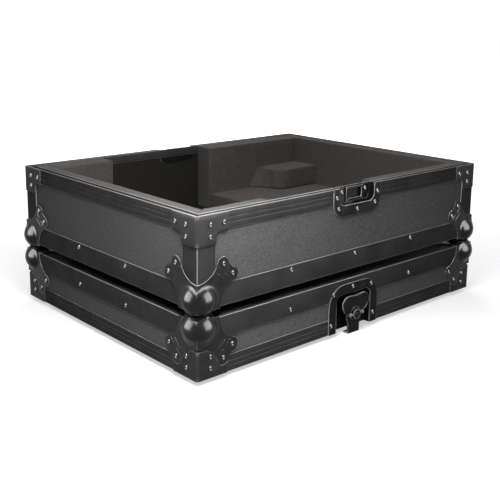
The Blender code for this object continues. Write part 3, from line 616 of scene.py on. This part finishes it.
def make_piece(name, parts, finish, body, replaced=(), slot=None, sharp=35.0, worn=True):
    """A mesh object of several shells, faces outwards, smooth up to an angle, riding on a body."""
    whole = joined([outward(weld(part)) for part in parts])
    mesh = bpy.data.meshes.new(name)
    faces = whole["quads"].tolist() + [cap.tolist() for cap in whole["caps"]]
    mesh.from_pydata(whole["points"].tolist(), [], faces)
    mesh.polygons.foreach_set("use_smooth", np.ones(len(mesh.polygons), bool))
    mesh.set_sharp_from_angle(angle=math.radians(sharp))
    # Rounded edges get a point attribute that the finish turns into a painted highlight.
    if worn:
        add_painted_highlight(mesh)
    mesh.materials.append(FINISHES[finish])
    piece = add_object(name, mesh)
    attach(piece, body)
    if replaced:
        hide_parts(*replaced)
    return piece


def remake(node, way, parts, finish, body, **more):
    """A piece that stands for one CAD node, named after it and the way that it is made."""
    return make_piece(f"{node}_{way}", parts, finish, body, [node], **more)





# ---------------- rivets


def rivet(p, q, axis=1, face=-FACE):
    """Domed head at (p, q) on a face: its profile turned round an axis, pointing to the negative side."""
    share, height = np.array([RIVET_SHARES, RIVET_HEIGHTS])[..., None]
    angle = np.linspace(0.0, math.tau, RIVET_SIDES, endpoint=False)
    first, second = [other for other in range(3) if other != axis]
    rings = np.empty((len(share), RIVET_SIDES, 3))
    rings[..., first] = p + RIVET_RADIUS * share * np.cos(angle)
    rings[..., second] = q + RIVET_RADIUS * share * np.sin(angle)
    rings[..., axis] = face - height
    return loft(rings)


def make_rivets():
    """All rivet heads of each half."""
    near, far = WING_RIVET
    wings = [rivet(p, q, axis) for axis in range(3) for p, q in ((near, far), (far, near))]
    brackets = [rivet(u, v, axis) for u, v in BRACKET_RIVETS for axis in (0, 1)]
    latches, keepers = ([rivet(*spot) for spot in spots] for spots in (LATCH_RIVETS, KEEPER_RIVETS))
    ear = POCKET_DEPTH - GAP - SHEET
    keepers += [rivet(sign * STRIKE_RIVET[0], STRIKE_RIVET[1], 1, ear) for sign in (-1, 1)]
    long = (-LONG_RIVET_PITCH, 0.0, LONG_RIVET_PITCH)
    short = (-SHORT_RIVET_PITCH / 2.0, SHORT_RIVET_PITCH / 2.0)
    for half, floor, rim, on_corner, on_face, line, spots in (
        ("base", BASE_FLOOR, BASE_RIM, brackets, keepers, BASE_RIVET_LINE, long),
        ("lid", LID_TOP, LID_RIM, brackets[:4], latches, LID_RIVET_LINE, long[::2]),
    ):
        heads = []
        for corner in CORNERS:
            heads += placed(wings, corner, floor) + placed(on_corner, corner, rim)
        for face in FACES:
            heads += placed(on_face, face, rim)
            heads += placed([rivet(x, line, 1, 0.0) for x in spots], face, floor)
        for end in ENDS:
            heads += placed([rivet(y, line, 0, 0.0) for y in short], end, floor)
        make_piece(f"{half}_rivets", heads, "rivet_steel", half, slot="steel", sharp=60.0, worn=False)


# ---------------- ball corners


def smooth_max(a, b, width):
    """The larger of two values, the crease between them turned into a fillet.

    Where they differ by less than the width, it is raised by the square of what is left of the width over
    four times the width.
    """
    return np.maximum(a, b) + np.maximum(width - np.abs(a - b), 0.0) ** 2 / (4.0 * width)


def wing_edge():
    """Free edge of one winged face: bay, lobe, waist, lobe and bay.

    The lobe's circle is concentric with its rivet and touches the bay's circle. Near the diagonal the height
    over the rivets' line is the smooth maximum of the lobe's circle and the waist.
    """
    near, far = WING_RIVET
    bay_centre = WING_NECK + WING_BAY_RADIUS
    lobe = math.hypot(bay_centre - far, near) - WING_BAY_RADIUS
    meet = math.degrees(math.atan2(near, far - bay_centre))
    bay = arc((bay_centre, 0.0), WING_BAY_RADIUS, 180.0, meet, 14)
    bulge = arc((far, near), lobe, meet - 180.0, 45.0, 18)[1:]
    reach = (far - near) / math.sqrt(2.0)
    beyond = np.linspace(0.1, 1.0, 10) * reach
    circle = np.sqrt(np.maximum(lobe**2 - beyond**2, 0.0))
    height = smooth_max(circle, lobe - WING_WAIST, WING_FILLET)
    waist = (far, near) + np.outer(beyond, (-1.0, 1.0)) / math.sqrt(2.0) + (height / math.sqrt(2.0))[:, None]
    half = np.concatenate([[(WING_NECK, -FACE)], bay, bulge, waist[:-1]])
    return np.concatenate([half, waist[-1:], half[::-1, ::-1]])





def ball_skin(flat, axis):
    """Outer skin over points of one face's plane.

    The ray from the ball's centre to the point of the plane is kept in direction, and its length becomes the
    smooth maximum of itself and the ball's radius; the foot is then levelled the same way.
    """
    ray = on_plane(flat, axis, -FACE) - BALL_CENTRE
    length = np.linalg.norm(ray, axis=-1, keepdims=True)
    skin = BALL_CENTRE + ray / length * smooth_max(length, BALL_RADIUS, BALL_FILLET)
    skin[..., 2] = smooth_max(skin[..., 2], -BALL_FOOT, FOOT_FILLET)
    return skin


def ball_corner():
    """Stamped corner: three winged faces whose grids run from a heart on each face to its edge and its folds.

    A grid's rows are shares of the way from the heart to the outline. More rows roll the free edge over and
    bring it back to the inner face, where the sheet lies on the edging.
    """
    edge = wing_edge()
    along = unit(np.gradient(edge, axis=0))
    normal = stacked(-along[:, 1], along[:, 0])
    normal[0], normal[-1] = (-1.0, 0.0), (0.0, -1.0)
    mitre = np.zeros((len(edge), 2))
    mitre[0], mitre[-1] = (0.0, 1.0), (1.0, 0.0)
    start = edge + ROLL * normal
    fold = np.linspace(start[-1], (-FACE, -FACE), 30)
    outline = np.concatenate([start, fold[1:], fold[-2:0:-1, ::-1]])
    share = np.concatenate([[0.02], np.linspace(0.06, 1.0, 34)])[:, None, None]
    flat = WING_HEART + share * (outline - WING_HEART)
    parts = []
    for axis in range(3):
        top = ball_skin(flat, axis)
        index = numbered(top)
        parts.append(shell(top, grid_faces(index, wrap_columns=True), [index[0][::-1]]))
        rows = [(edge + gone * normal + drop * mitre, drop) for gone, drop in [*rolled(ROLL), (0.0, SHEET)]]
        strip = np.stack([on_plane(spot, axis, drop - FACE) for spot, drop in rows])
        index = numbered(strip)
        inner = np.concatenate([strip.reshape(-1, 3), [(-GAP, -GAP, -GAP)]])
        parts.append(shell(inner, grid_faces(index), [np.concatenate([[len(inner) - 1], index[-1]])]))
    return joined(parts)


def rib(middle, shift, half, axis):
    """Pressed rib across a wing: half circles swept along the rivets' line, their size fading at its ends.

    The size is the square root of one less the sixth power of the place along the rib.
    """
    along = np.linspace(-1.0, 1.0, 13)
    size = np.sqrt(np.clip(1.0 - along**6, 0.03, 1.0))[:, None]
    angle = np.linspace(0.0, math.pi, 7)
    across = RIB_HALF * np.cos(angle) * size
    offset = (shift + along * half)[:, None]
    flat = middle + stacked(across - offset, across + offset) / math.sqrt(2.0)
    bow = on_plane(flat, axis, -FACE - RIB_HEIGHT * np.sin(angle) * size)
    foot = 0.5 * (bow[:, :1] + bow[:, -1:])
    foot[..., axis] = -FACE + GAP
    return loft(np.concatenate([bow, foot], axis=1))


def make_ball_corners():
    """The stamped corners of both halves, and the ribs in their wings."""
    skin = ball_corner()
    ribs = [rib(*place, axis) for axis in range(3) for place in RIBS]
    for corner in CORNERS:
        for half, level in (("base", BASE_FLOOR), ("lid", LID_TOP)):
            node = f"{half}_ball_corner_{corner}"
            remake(node, "pressed", placed([skin], corner, level), "steel", half, sharp=50.0)
            shells = placed(ribs, corner, level)
            make_piece(f"{node}_ribs", shells, "steel", half, sharp=50.0, worn=False)


# ---------------- rim brackets and corner angles


def folded(along, height, depth):
    """Points of the corner frame from a sheet's unrolled length, its height and its depth behind the skin.

    Within a quarter turn of the fold a point goes round the fold's centre at the fold's radius less its
    depth, and beyond that it lies on one face or the other.
    """
    half = BRACKET_FOLD * math.pi / 4.0
    bend = np.clip(along, -half, half)
    turn = math.pi / 4.0 + bend / BRACKET_FOLD
    x = BRACKET_FOLD - FACE - (BRACKET_FOLD - depth) * np.cos(turn) + np.maximum(along - bend, 0.0)
    y = BRACKET_FOLD - FACE - (BRACKET_FOLD - depth) * np.sin(turn) + np.maximum(bend - along, 0.0)
    return stacked(x, y, height)


def bracket(leg, tops):
    """Rim bracket: columns along the unrolled sheet and rows up it, between the rim and a top edge.

    The leg's columns are places along a face and tops are its top edge there. The depth rolls off at all four
    edges.
    """
    half = BRACKET_FOLD * math.pi / 4.0
    offset = half + FACE - BRACKET_FOLD
    columns = np.concatenate([-(leg + offset)[::-1], np.linspace(-half, half, 11)[1:-1], leg + offset])
    top = np.concatenate([tops[::-1], np.full(9, BRACKET_HEIGHT), tops])
    roll = rolled(ROLL)[:, :1]
    share = np.linspace(0.0, 1.0, 8)[1:-1, None]
    low = GAP + roll[::-1] + 0.0 * top
    height = np.concatenate([low, low[-1] + share * (top - ROLL - low[-1]), top - roll])
    columns = np.broadcast_to(columns, height.shape)
    near = np.minimum(np.minimum(height - GAP, top - height), BRACKET_LONG + offset - np.abs(columns))
    return slab(folded(columns, height, roll_off(near)), folded(columns, height, SHEET))


def base_bracket():
    """Base bracket: high at the fold, a round inside corner, low to its end, the outer corners rounded."""
    turn = np.radians(np.linspace(180.0, 270.0, 9))
    end = np.radians(np.linspace(90.0, 0.0, 5))
    bend, tip, short_tip = mm(1.1, 1.5, 1.49)
    fillet = EDGE_LEG + BRACKET_FILLET * (1.0 + np.cos(turn))
    leg = np.concatenate([
        np.linspace(BRACKET_FOLD - FACE, EDGE_LEG - tip, 6),
        EDGE_LEG - 1.3 * MM + bend * np.cos(end),
        fillet,
        [0.5 * (fillet[-1] + BRACKET_LONG)],
        BRACKET_LONG - tip + short_tip * np.cos(end),
    ])
    tops = np.concatenate([
        np.full(6, BRACKET_HEIGHT),
        BRACKET_HEIGHT - bend * (1.0 - np.sin(end)),
        BRACKET_LONG_HEIGHT + BRACKET_FILLET * (1.0 + np.sin(turn)),
        [BRACKET_LONG_HEIGHT],
        BRACKET_LONG_HEIGHT - tip * (1.0 - np.sin(end)),
    ])
    return bracket(leg, tops)


def lid_bracket():
    """Lid bracket: its top edge follows the edge of the ball corner's wing below it."""
    edge = wing_edge()
    edge = edge[edge[:, 1] >= edge[:, 0]]
    edge = edge[np.argsort(edge[:, 0])]
    leg = np.linspace(BRACKET_FOLD - FACE, BRACKET_LONG - 1.0 * MM, 26)
    leg = np.concatenate([leg, BRACKET_LONG - np.array([0.4, 0.05]) * MM])
    wing = LID_HEIGHT - np.interp(leg, edge[:, 0], edge[:, 1]) - 1.5 * GAP
    return bracket(leg, np.minimum(np.where(leg < EDGE_LEG, BRACKET_HEIGHT, BRACKET_LONG_HEIGHT), wing))


def make_brackets():
    """The brackets over the corners of the two rims."""
    halves = (("base", base_bracket(), BASE_RIM), ("lid", lid_bracket(), LID_RIM))
    for corner in CORNERS:
        for half, part, level in halves:
            node, shells = f"{half}_rim_bracket_{corner}", placed([part], corner, level)
            remake(node, "pressed", shells, "bracket_steel", half, slot="steel")


def angle_outline():
    """Section of angle edging, its outer corner and leg ends rounded."""
    leg, sheet = EDGE_LEG, SHEET
    corners = [(0.0, 0.0), (leg, 0.0), (leg, sheet), (sheet, sheet), (sheet, leg), (0.0, leg)]
    return rounded(corners, mm(0.8, 0.55, 0.4, 0.15, 0.4, 0.55), 4)


def make_corner_angles():
    """The upright angles between the rim and the lower edging of the base."""
    outline = angle_outline()
    low, high = EDGE_LEG + GAP, BASE_HEIGHT - RIM_HEIGHT - GAP
    part = loft([stacked(*outline.T, z) for z in np.linspace(low, high, 4)])
    for corner in CORNERS:
        shells = placed([part], corner, BASE_FLOOR)
        remake(f"base_corner_angle_{corner}", "rolled", shells, "edging", "base")


# ---------------- edging


def rim_outline(inner, radii):
    """Section of a rim: an outer leg with two fine V lines rolled into it, then the given inner corners."""
    depth, half = RIM_LINE_CUT
    cut = ((0, -1), (1, 0), (0, 1))
    lines = [(deep * depth, line + step * half) for line in RIM_LINES for deep, step in cut]
    corners = [(0.0, 0.0), *lines, (0.0, RIM_HEIGHT), (SHEET, RIM_HEIGHT), *inner]
    return rounded(corners, mm(0.95, *[0.12] * 6, 0.5, 0.2, *radii), 3)


def rim_outlines():
    """Sections of both rims, (into the case, away from the rim).

    The base's cap has a groove between an outer and an inner lip, and the lid's has a flat foot.
    """
    web, leg = RIM_GROOVE + SHEET, RIM_WIDTH - SHEET
    down = [(leg, RIM_INNER_HEIGHT), (RIM_WIDTH, RIM_INNER_HEIGHT), (RIM_WIDTH, 0.0)]
    low, high = RIM_LIP, RIM_WIDTH - RIM_LIP
    lips = [(high, 0.0), (high, RIM_GROOVE), (low, RIM_GROOVE), (low, 0.0)]
    radii = (0.2, 0.2, 0.3, 0.3, 0.9, 0.9, 0.6, 0.6, 0.9)
    base = rim_outline([(SHEET, web), (leg, web), *down, *lips], radii)
    lid = rim_outline([(SHEET, LID_RIM_WEB), (leg, LID_RIM_WEB), *down], (0.2, 0.2, 0.3, 0.3, 0.6))
    return base, lid


def bar(outline, side, level, low=None, high=None):
    """Length of edging along one side: its section at each end, mitred at the corners of the case."""
    z, rise = level
    sign = -1.0 if side in ("front", "left") else 1.0
    across, along = (DEPTH, WIDTH) if side in FACES else (WIDTH, DEPTH)
    into, up = outline.T
    mitre = along / 2.0 - into - GAP / 2.0
    spot, height = sign * (across / 2.0 - into), z + rise * up
    ends = (-mitre if low is None else low, mitre if high is None else high)
    return loft([stacked(end, spot, height) if side in FACES else stacked(spot, end, height) for end in ends])


def make_rims():
    """The four lengths of rim edging of each half.

    A front or rear length stops at the notch for its dish, and only the strip behind the dish goes on.
    """
    strip = oblong(NOTCH_FACE, 0.0, RIM_WIDTH, RIM_INNER_HEIGHT, 0.3 * MM)
    base, lid = rim_outlines()
    for half, outline, level, notch in (
        ("base", base, BASE_RIM, KEEPER_NOTCH),
        ("lid", lid, LID_RIM, LATCH_NOTCH),
    ):
        lap = notch + STRIP_LAP
        for side in (*FACES, *ENDS):
            parts = [bar(outline, side, level)]
            if side in FACES:
                parts = [bar(outline, side, level, high=-notch), bar(outline, side, level, low=notch)]
                parts.append(bar(strip, side, level, -lap, lap))
            remake(f"{half}_rim_{side}", "rolled", parts, "edging", half, sharp=28.0)


def frame_round(level, notch=None):
    """Angle edging carried round the case and mitred at the corners.

    Its wall leg is shortened over the width of a notch, where a dish needs room.
    """
    z, rise = level
    outline = angle_outline()
    short = outline.copy()
    short[:, 1] -= np.where(outline[:, 1] > 5.0 * MM, EDGE_LEG - LID_HEIGHT + LATCH_NOTCH_TOP, 0.0)
    rings = []
    for x_sign, y_sign in ((-1, -1), (1, -1), (1, 1), (-1, 1)):
        x = x_sign * (WIDTH / 2.0 - outline[:, 0])
        y = y_sign * (DEPTH / 2.0 - outline[:, 0])
        rings.append(stacked(x, y, z + rise * outline[:, 1]))
        if notch and x_sign == y_sign:
            inner = notch - 0.05 * MM
            for leg, spot in ((outline, notch), (short, inner), (short, -inner), (outline, -notch)):
                rings.append(stacked(x_sign * spot, y, z + rise * leg[:, 1]))
    return loft(rings, closed=True)


def make_edge_frames():
    """The angle edging round the floor of the base and round the top of the lid."""
    for half, part in (("base", frame_round(BASE_FLOOR)), ("lid", frame_round(LID_TOP, LATCH_NOTCH))):
        remake(f"{half}_edge_frame", "rolled", [part], "edging", half)


# ---------------- dishes and strike plates


def arch(shape, gone, depth):
    """Path from the rim up one side of a pocket, round its two far corners and down to the rim again.

    The path is drawn in by a distance, so its corner radius shrinks by it, and stands at a depth.
    """
    half, height, radius = (value - gone for value in shape)
    left = arc((radius - half, height - radius), radius, 180.0, 90.0, 12)
    right = arc((half - radius, height - radius), radius, 90.0, 0.0, 12)
    return stand(np.concatenate([[(-half, GAP)], left, right, [(half, GAP)]]), depth)


def dish(flange, pocket):
    """Pressed dish in the face frame, open towards the rim.

    Rows run from the flange's outer edge over its face, round the pocket's lip, down the wall and round the
    wall's foot to the floor. The lip is a quarter circle outside the pocket's wall, and the foot one inside.
    """
    floor, wide = POCKET_DEPTH, POCKET_ROUND + SHEET
    rows = [(flange, gone, fall - FACE, gone, -GAP) for gone, fall in rolled(ROLL)[::-1]]
    rows.append((flange, 3.0 * ROLL, -FACE, 3.0 * ROLL, -GAP))
    rows.append((pocket, -2.2 * POCKET_LIP, -FACE, -2.2 * POCKET_LIP, -GAP))
    for step, (gone, fall) in enumerate(rolled(POCKET_LIP, 5)):
        rows.append((pocket, -gone, fall - FACE, -SHEET - 0.02 * MM * (5 - step), 0.05 * MM * step - GAP))
    for depth in (POCKET_LIP - FACE + 0.5 * MM, floor - POCKET_ROUND - 0.5 * MM):
        rows.append((pocket, 0.0, depth, -SHEET, depth))
    for gone, fall in rolled(1.0, 6)[::-1]:
        front = (POCKET_ROUND * gone, floor - POCKET_ROUND * fall)
        rows.append((pocket, *front, wide * gone - SHEET, floor + SHEET - wide * fall))
    rows.append((pocket, POCKET_ROUND + 0.6 * MM, floor, POCKET_ROUND + 0.6 * MM, floor + SHEET))
    front = [arch(shape, gone, depth) for shape, gone, depth, _, _ in rows]
    back = [arch(shape, gone, depth) for shape, _, _, gone, depth in rows]
    return slab(np.stack(front), np.stack(back), floor=True)


def strike():
    """Strike plate of the keeper: a raised bridge with a window for the hook, and an ear on each side."""
    high, low, ear = STRIKE_INSET, STRIKE_INSET + SHEET, POCKET_DEPTH - GAP
    top, foot, wide = STRIKE_TOP, STRIKE_HEIGHT, STRIKE_HALF
    outer = divided(oblong(-wide, top, wide, foot, 0.5 * MM), 2.0 * MM)
    half, window_top, window_foot = STRIKE_WINDOW
    window = divided(oblong(-half, window_top, half, window_foot, 1.2 * MM, 4), 0.3 * MM)
    centre = np.array([0.0, 0.5 * (window_top + window_foot)])
    parts = [ring_plate(outer, seen_from(centre, outer, window), low, high)]
    section = [(wide - SHEET, high + 0.3 * MM), (wide, high + 0.3 * MM), (wide, ear - SHEET)]
    section += [(STRIKE_EAR_HALF, ear - SHEET), (STRIKE_EAR_HALF, ear), (wide - SHEET, ear)]
    x, y = rounded(section, mm(0.2, 0.5, 0.7, 0.4, 0.2, 1.2), 4).T
    for sign in (-1.0, 1.0):
        parts.append(loft([stacked(sign * x, y, z) for z in (top, foot)]))
    return parts


def make_dishes():
    """The dishes of the latches and the keepers, and the strike plates in the keepers."""
    kinds = (
        ("latch_dish", [dish(LATCH_FLANGE, LATCH_POCKET)], LID_RIM, "lid"),
        ("keeper_dish", [dish(KEEPER_FLANGE, KEEPER_POCKET)], BASE_RIM, "base"),
        ("keeper_strike", strike(), BASE_RIM, "base"),
    )
    for face in FACES:
        for node, parts, level, half in kinds:
            shells = placed(parts, face, level)
            remake(f"{node}_{face}", "pressed", shells, "latch_steel", half, slot="latch")


# ---------------- latches


def hook():
    """Sliding hook plate with its slot, and the lip across its foot."""
    foot, shoulder, head = PIVOT - HOOK_FOOT, PIVOT - HOOK_SHOULDER, PIVOT + HOOK_HEAD
    corners = [(HOOK_FOOT_HALF, foot), (HOOK_FOOT_HALF + HOOK_TAPER[0], shoulder - HOOK_TAPER[1])]
    corners += [(HOOK_SHOULDER_HALF, shoulder), (HOOK_SHOULDER_HALF, head)]
    corners += [(-x, z) for x, z in corners[::-1]]
    radii = mm(2.0, 3.0, 3.0, 3.0, 3.0, 3.0, 3.0, 2.0)
    outer = divided(rounded(corners, radii, 5), 2.0 * MM)
    radius, travel = HOOK_SLOT
    slot = [arc((0.0, PIVOT + travel), radius, 0.0, 180.0, 24), arc((0.0, PIVOT), radius, 180.0, 360.0, 24)]
    slot = divided(np.concatenate(slot), 0.2 * MM)
    centre = np.array([0.0, PIVOT + travel / 2.0])
    body = ring_plate(outer, seen_from(centre, outer, slot), -HOOK_BACK, -HOOK_FRONT)
    half, top = HOOK_FOOT_HALF, foot + HOOK_LIP
    return [body, plate(oblong(-half, foot, half, top, 0.6 * MM), HOOK_LIP_IN, -HOOK_FRONT, 0.3 * MM)]


def hub():
    """Turning hub: shaft, disc and boss as one turned profile, with two rings cut into the boss."""
    back, front, top = -DISC_BACK, -DISC_FRONT, -BOSS_FRONT
    fine, small, large = mm(0.3, 0.4, 0.9)
    profile = [
        (SHAFT_RADIUS - fine, SHAFT_IN),
        (SHAFT_RADIUS, SHAFT_IN - fine),
        (SHAFT_RADIUS, back),
        (DISC_RADIUS - fine, back),
        (DISC_RADIUS, back - fine),
        (DISC_RADIUS, front + small),
        (DISC_RADIUS - small, front),
        (BOSS_RADIUS + small, front),
        (BOSS_RADIUS, front - small),
        (BOSS_RADIUS, top + large),
        (BOSS_RADIUS - 0.25 * MM, top + fine),
        (BOSS_RADIUS - large, top),
    ]
    wide, narrow, deep = mm(0.5, 0.2, 0.35)
    for ring in BOSS_RINGS:
        profile += [(ring + wide, top), (ring + narrow, top + deep)]
        profile += [(ring - narrow, top + deep), (ring - wide, top)]
    return [turned([*profile, (1.0 * MM, top - 0.05 * MM)], 48, 0.0, PIVOT)]


def rod(radius, start, end, y, z, sides):
    """Round bar along X with slightly rounded ends."""
    angle = np.linspace(0.0, math.tau, sides, endpoint=False)
    off = 0.3 * MM
    rows = ((start, radius - off), (start + off, radius), (end - off, radius), (end, radius - off))
    return loft([stacked(x, y + r * np.cos(angle), z + r * np.sin(angle)) for x, r in rows])


def wing():
    """Butterfly wing: rays from the bay round the hub to the outer edge, whose border curls out.

    The curl is a smooth step of the distance to the outer edge, and the depth rolls off at the edges. The
    wing's lugs and pin are bars along X.
    """
    lobe = arc((WING_LOBE, WING_SHOULDER), WING_HALF - WING_LOBE, 0.0, 84.0, 14)
    right = np.concatenate([[(LUG_OUT, 0.0), *WING_SIDE], lobe])
    outline = np.concatenate([right, WING_TOP, right[::-1] * (-1.0, 1.0)])
    lengths = np.concatenate([[0.0], np.cumsum(np.linalg.norm(np.diff(outline, axis=0), axis=1))])
    column = np.arange(97)
    spots = np.linspace(0.0, lengths[-1], len(column))
    outer = np.stack([np.interp(spots, lengths, outline[:, side]) for side in (0, 1)], axis=1)
    inner = unit(outer) * LUG_IN
    share = [0.0, 0.01, 0.025, 0.05, *np.linspace(0.1, 0.94, 15), 0.96, 0.975, 0.99, 1.0]
    share = np.array(share)[:, None]
    reach = np.linalg.norm(outer - inner, axis=1)
    flat = inner + share[..., None] * (outer - inner)
    near = np.minimum(np.minimum(share, 1.0 - share) * reach, ROLL * np.minimum(column, column[::-1]) / 3.0)
    rise = np.clip(1.0 - (1.0 - share) * reach / WING_CURL_SPAN[0], 0.0, 1.0)
    lift = np.clip(flat[..., 1] / WING_CURL_SPAN[1], 0.0, 1.0)
    curl = WING_CURL * rise**2 * (3.0 - 2.0 * rise) * lift**2 * (3.0 - 2.0 * lift)
    flat = flat + (0.0, PIVOT)
    parts = [slab(stand(flat, roll_off(near) - DISC_FRONT - curl), stand(flat, -DISC_BACK - curl))]
    for start in (LUG_IN, -LUG_OUT):
        parts.append(rod(LUG_RADIUS, start, start + LUG_OUT - LUG_IN, -PIN_OUT, PIVOT, 28))
    parts.append(rod(PIN_RADIUS, -LUG_OUT - 0.5 * MM, LUG_OUT + 0.5 * MM, -PIN_OUT, PIVOT, 16))
    return parts


def make_latches():
    """Hub, wing and hook of the two latches."""
    for kind, parts in (("hub", hub()), ("wing", wing()), ("hook", hook())):
        for face in FACES:
            shells = placed(parts, face, LID_RIM)
            remake(f"latch_{kind}_{face}", "formed", shells, "latch_steel", f"{face}_{kind}", slot="latch")


# ---------------- foam


def marks(low, high, radius, step):
    """Places along one side of a foam piece: close together in its rounded edges and evenly between them."""
    edge = radius * np.array([0.0, 0.12, 0.3, 0.55, 1.0])
    count = max(int(round((high - low - 2.0 * radius) / step)), 2)
    middle = np.linspace(low + radius, high - radius, count + 1)[1:-1]
    return np.concatenate([low + edge, middle, high - edge[::-1]])


def foam_box(low, high, step):
    """Cut foam piece with soft edges and slightly uneven faces.

    A point of the plain box goes to the point one radius from the box's core along the way to it. The faces
    then swell by products of sines of the place, along that same direction.
    """
    low, high = np.array(low), np.array(high)
    sides = [marks(low[axis], high[axis], FOAM_ROUND, step) for axis in range(3)]
    parts = []
    for axis in range(3):
        flat = stacked(*np.meshgrid(sides[(axis + 1) % 3], sides[(axis + 2) % 3], indexing="ij"))
        for value, way in ((low[axis], 1), (high[axis], -1)):
            spot = on_plane(flat, axis, value)
            parts.append(shell(spot, grid_faces(numbered(spot))[:, ::way]))
    box = weld(joined(parts))
    core = np.clip(box["points"], low + FOAM_ROUND, high - FOAM_ROUND)
    x, y, z = (core / MM).T
    swell = np.sin(x / 17.0 + y / 29.0) * np.sin(y / 13.0 + z / 11.0 + 1.0)
    swell += 0.6 * np.sin(x / 7.0 + z / 9.0) * np.sin(y / 5.3 + 2.0)
    size = FOAM_ROUND + 0.5 * FOAM_SWELL * (swell - 1.0)
    return shell(core + unit(box["points"] - core) * size[:, None], box["quads"])


def foam_block(low, high):
    """Corner block of foam, its free corner rounded and its left side flaring out to the bottom at the rear.

    The flare is a share of the place along the left side, of the place across the block and of the depth
    below its top.
    """
    left, front, right, rear = low[0] + BLOCK_FLARE, low[1], high[0], high[1]
    bend = arc((left + BLOCK_ROUND, front + BLOCK_ROUND), BLOCK_ROUND, 180.0, 270.0, 8)
    outline = divided(np.concatenate([[(left, rear)], bend, [(right, front), (right, rear)]]), 6.0 * MM)
    x, y = outline.T
    along = np.clip((y - front - BLOCK_ROUND) / (rear - front - BLOCK_ROUND), 0.0, 1.0)
    flare = stacked(BLOCK_FLARE * along * (right - x) / (right - left), 0.0)
    height = high[2] - low[2]
    round_off = rolled(FOAM_ROUND, 4)
    rows = [(2.5 * FOAM_ROUND, low[2]), *[(gone, low[2] + fall) for gone, fall in round_off]]
    rows += [(0.0, low[2] + height * share) for share in (0.2, 0.35, 0.5, 0.65, 0.8)]
    rows += [*[(gone, high[2] - fall) for gone, fall in round_off[::-1]], (2.5 * FOAM_ROUND, high[2])]
    return loft([stacked(*inset(outline - flare * (high[2] - z) / height, gone).T, z) for gone, z in rows])


def make_foam_pieces():
    """All foam pieces."""
    names = ("left_liner", "right_liner", "front_left", "front_right", "rear_left", "rear_right")
    boxes = [(f"foam_{name}", "base", FOAM_STEP) for name in (*names, "floor_left", "floor_right")]
    for node, body, step in [*boxes, ("lid_top_foam", "lid", LID_FOAM_STEP)]:
        part = foam_box(*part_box(node), step)
        remake(node, "cut", [part], "foam", body, sharp=80.0, worn=False)
    node = "foam_corner_block"
    part = foam_block(*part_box(node))
    remake(node, "cut", [part], "foam", "base", sharp=50.0, worn=False)


def finish_boards():
    """The boards keep their CAD shapes and get the laminate."""
    for name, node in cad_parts.items():
        if name.endswith("_panel") or name == "lid_wall_frame":
            for place in range(len(node.data.materials)):
                node.data.materials[place] = FINISHES["laminate"]


# ---------------- stage


def make_lamps():
    """Square lamps that face the near corner: soft light on surfaces, and the softboxes that show in gloss.

    A lamp's azimuth is clockwise from -Y, seen from above.
    """
    for name, (azimuth, elevation, distance, size, energy) in LAMPS.items():
        a, e = math.radians(azimuth), math.radians(elevation)
        way = Vector((-math.sin(a) * math.cos(e), -math.cos(a) * math.cos(e), math.sin(e)))
        light = bpy.data.lights.new(name, "AREA")
        light.shape, light.size, light.energy = "SQUARE", size, energy
        lamp = add_object(name, light)
        lamp.location = Vector((-WIDTH / 2.0, -DEPTH / 2.0, BASE_FLOOR_Z)) + distance * way
        lamp.rotation_euler = (-way).to_track_quat("-Z", "Y").to_euler()
        lamp.visible_diffuse = name.endswith("_light")
        lamp.visible_glossy = name.endswith("_box")
        lamp.visible_camera = False


def seen_by(tree):
    """1 for a ray that comes from the camera, from gloss or through glass, else 0."""
    rays = add_node(tree, "LightPath", {})
    seen = rays["Is Camera Ray"]
    for name in ("Is Glossy Ray", "Is Transmission Ray"):
        seen = add_node(tree, "Math", {0: seen, 1: rays[name]}, operation="MAXIMUM")[0]
    return seen


def make_world():
    """White to the camera and in gloss, and an even, dimmer light on everything else."""
    world = bpy.data.worlds.new("studio")
    world.use_nodes = True
    tree = world.node_tree
    strength = ranged(tree, seen_by(tree), 0.0, 1.0, WORLD_LEVEL, 1.0)
    fill(tree, tree.nodes["Background"], {"Color": WHITE, "Strength": strength})
    bpy.context.scene.world = world


def make_floor():
    """Pale floor that keeps the shadow. Away from the case it brightens to the background's white."""
    half = FLOOR_HALF
    mesh = bpy.data.meshes.new("floor")
    corners = [(-half, -half, 0.0), (half, -half, 0.0), (half, half, 0.0), (-half, half, 0.0)]
    mesh.from_pydata(corners, [], [(0, 1, 2, 3)])
    material, tree, shader, place = new_finish("floor", (FLOOR_GREY,) * 3, 0.9, 0.0)
    radius = add_node(tree, "VectorMath", {0: place}, operation="LENGTH")["Value"]
    glow = ranged(tree, radius, *FLOOR_RADII, FLOOR_GLOW, 1.0)
    strength = add_node(tree, "Math", {0: glow, 1: seen_by(tree)}, operation="MULTIPLY")[0]
    fill(tree, shader, {"Emission Color": WHITE, "Emission Strength": strength})
    mesh.materials.append(material)
    add_object("floor", mesh)


def make_camera():
    """Camera fitted to the photograph: yaw, pitch down and roll, then the lens and its shift."""
    yaw, pitch, roll = 0.73108, 0.19859, 0.01053
    ahead = np.array([math.sin(yaw) * math.cos(pitch), math.cos(yaw) * math.cos(pitch), -math.sin(pitch)])
    level = np.array([math.cos(yaw), -math.sin(yaw), 0.0])
    over = np.cross(level, ahead)
    right = math.cos(roll) * level + math.sin(roll) * over
    up = math.cos(roll) * over - math.sin(roll) * level
    data = bpy.data.cameras.new("camera")
    data.sensor_width = 36.0
    data.lens = 60.825
    data.shift_y = -0.14
    camera = add_object("camera", data)
    turn = Matrix((right, up, -ahead)).transposed().to_4x4()
    camera.matrix_world = Matrix.Translation((-0.77656, -0.85626, 0.39971)) @ turn
    bpy.context.scene.camera = camera


make_rivets()
make_ball_corners()
make_brackets()
make_corner_angles()
make_rims()
make_edge_frames()
make_dishes()
make_latches()
make_foam_pieces()
finish_boards()
make_lamps()
make_world()
make_floor()
make_camera()

bpy.context.scene.view_settings.view_transform = "Standard"
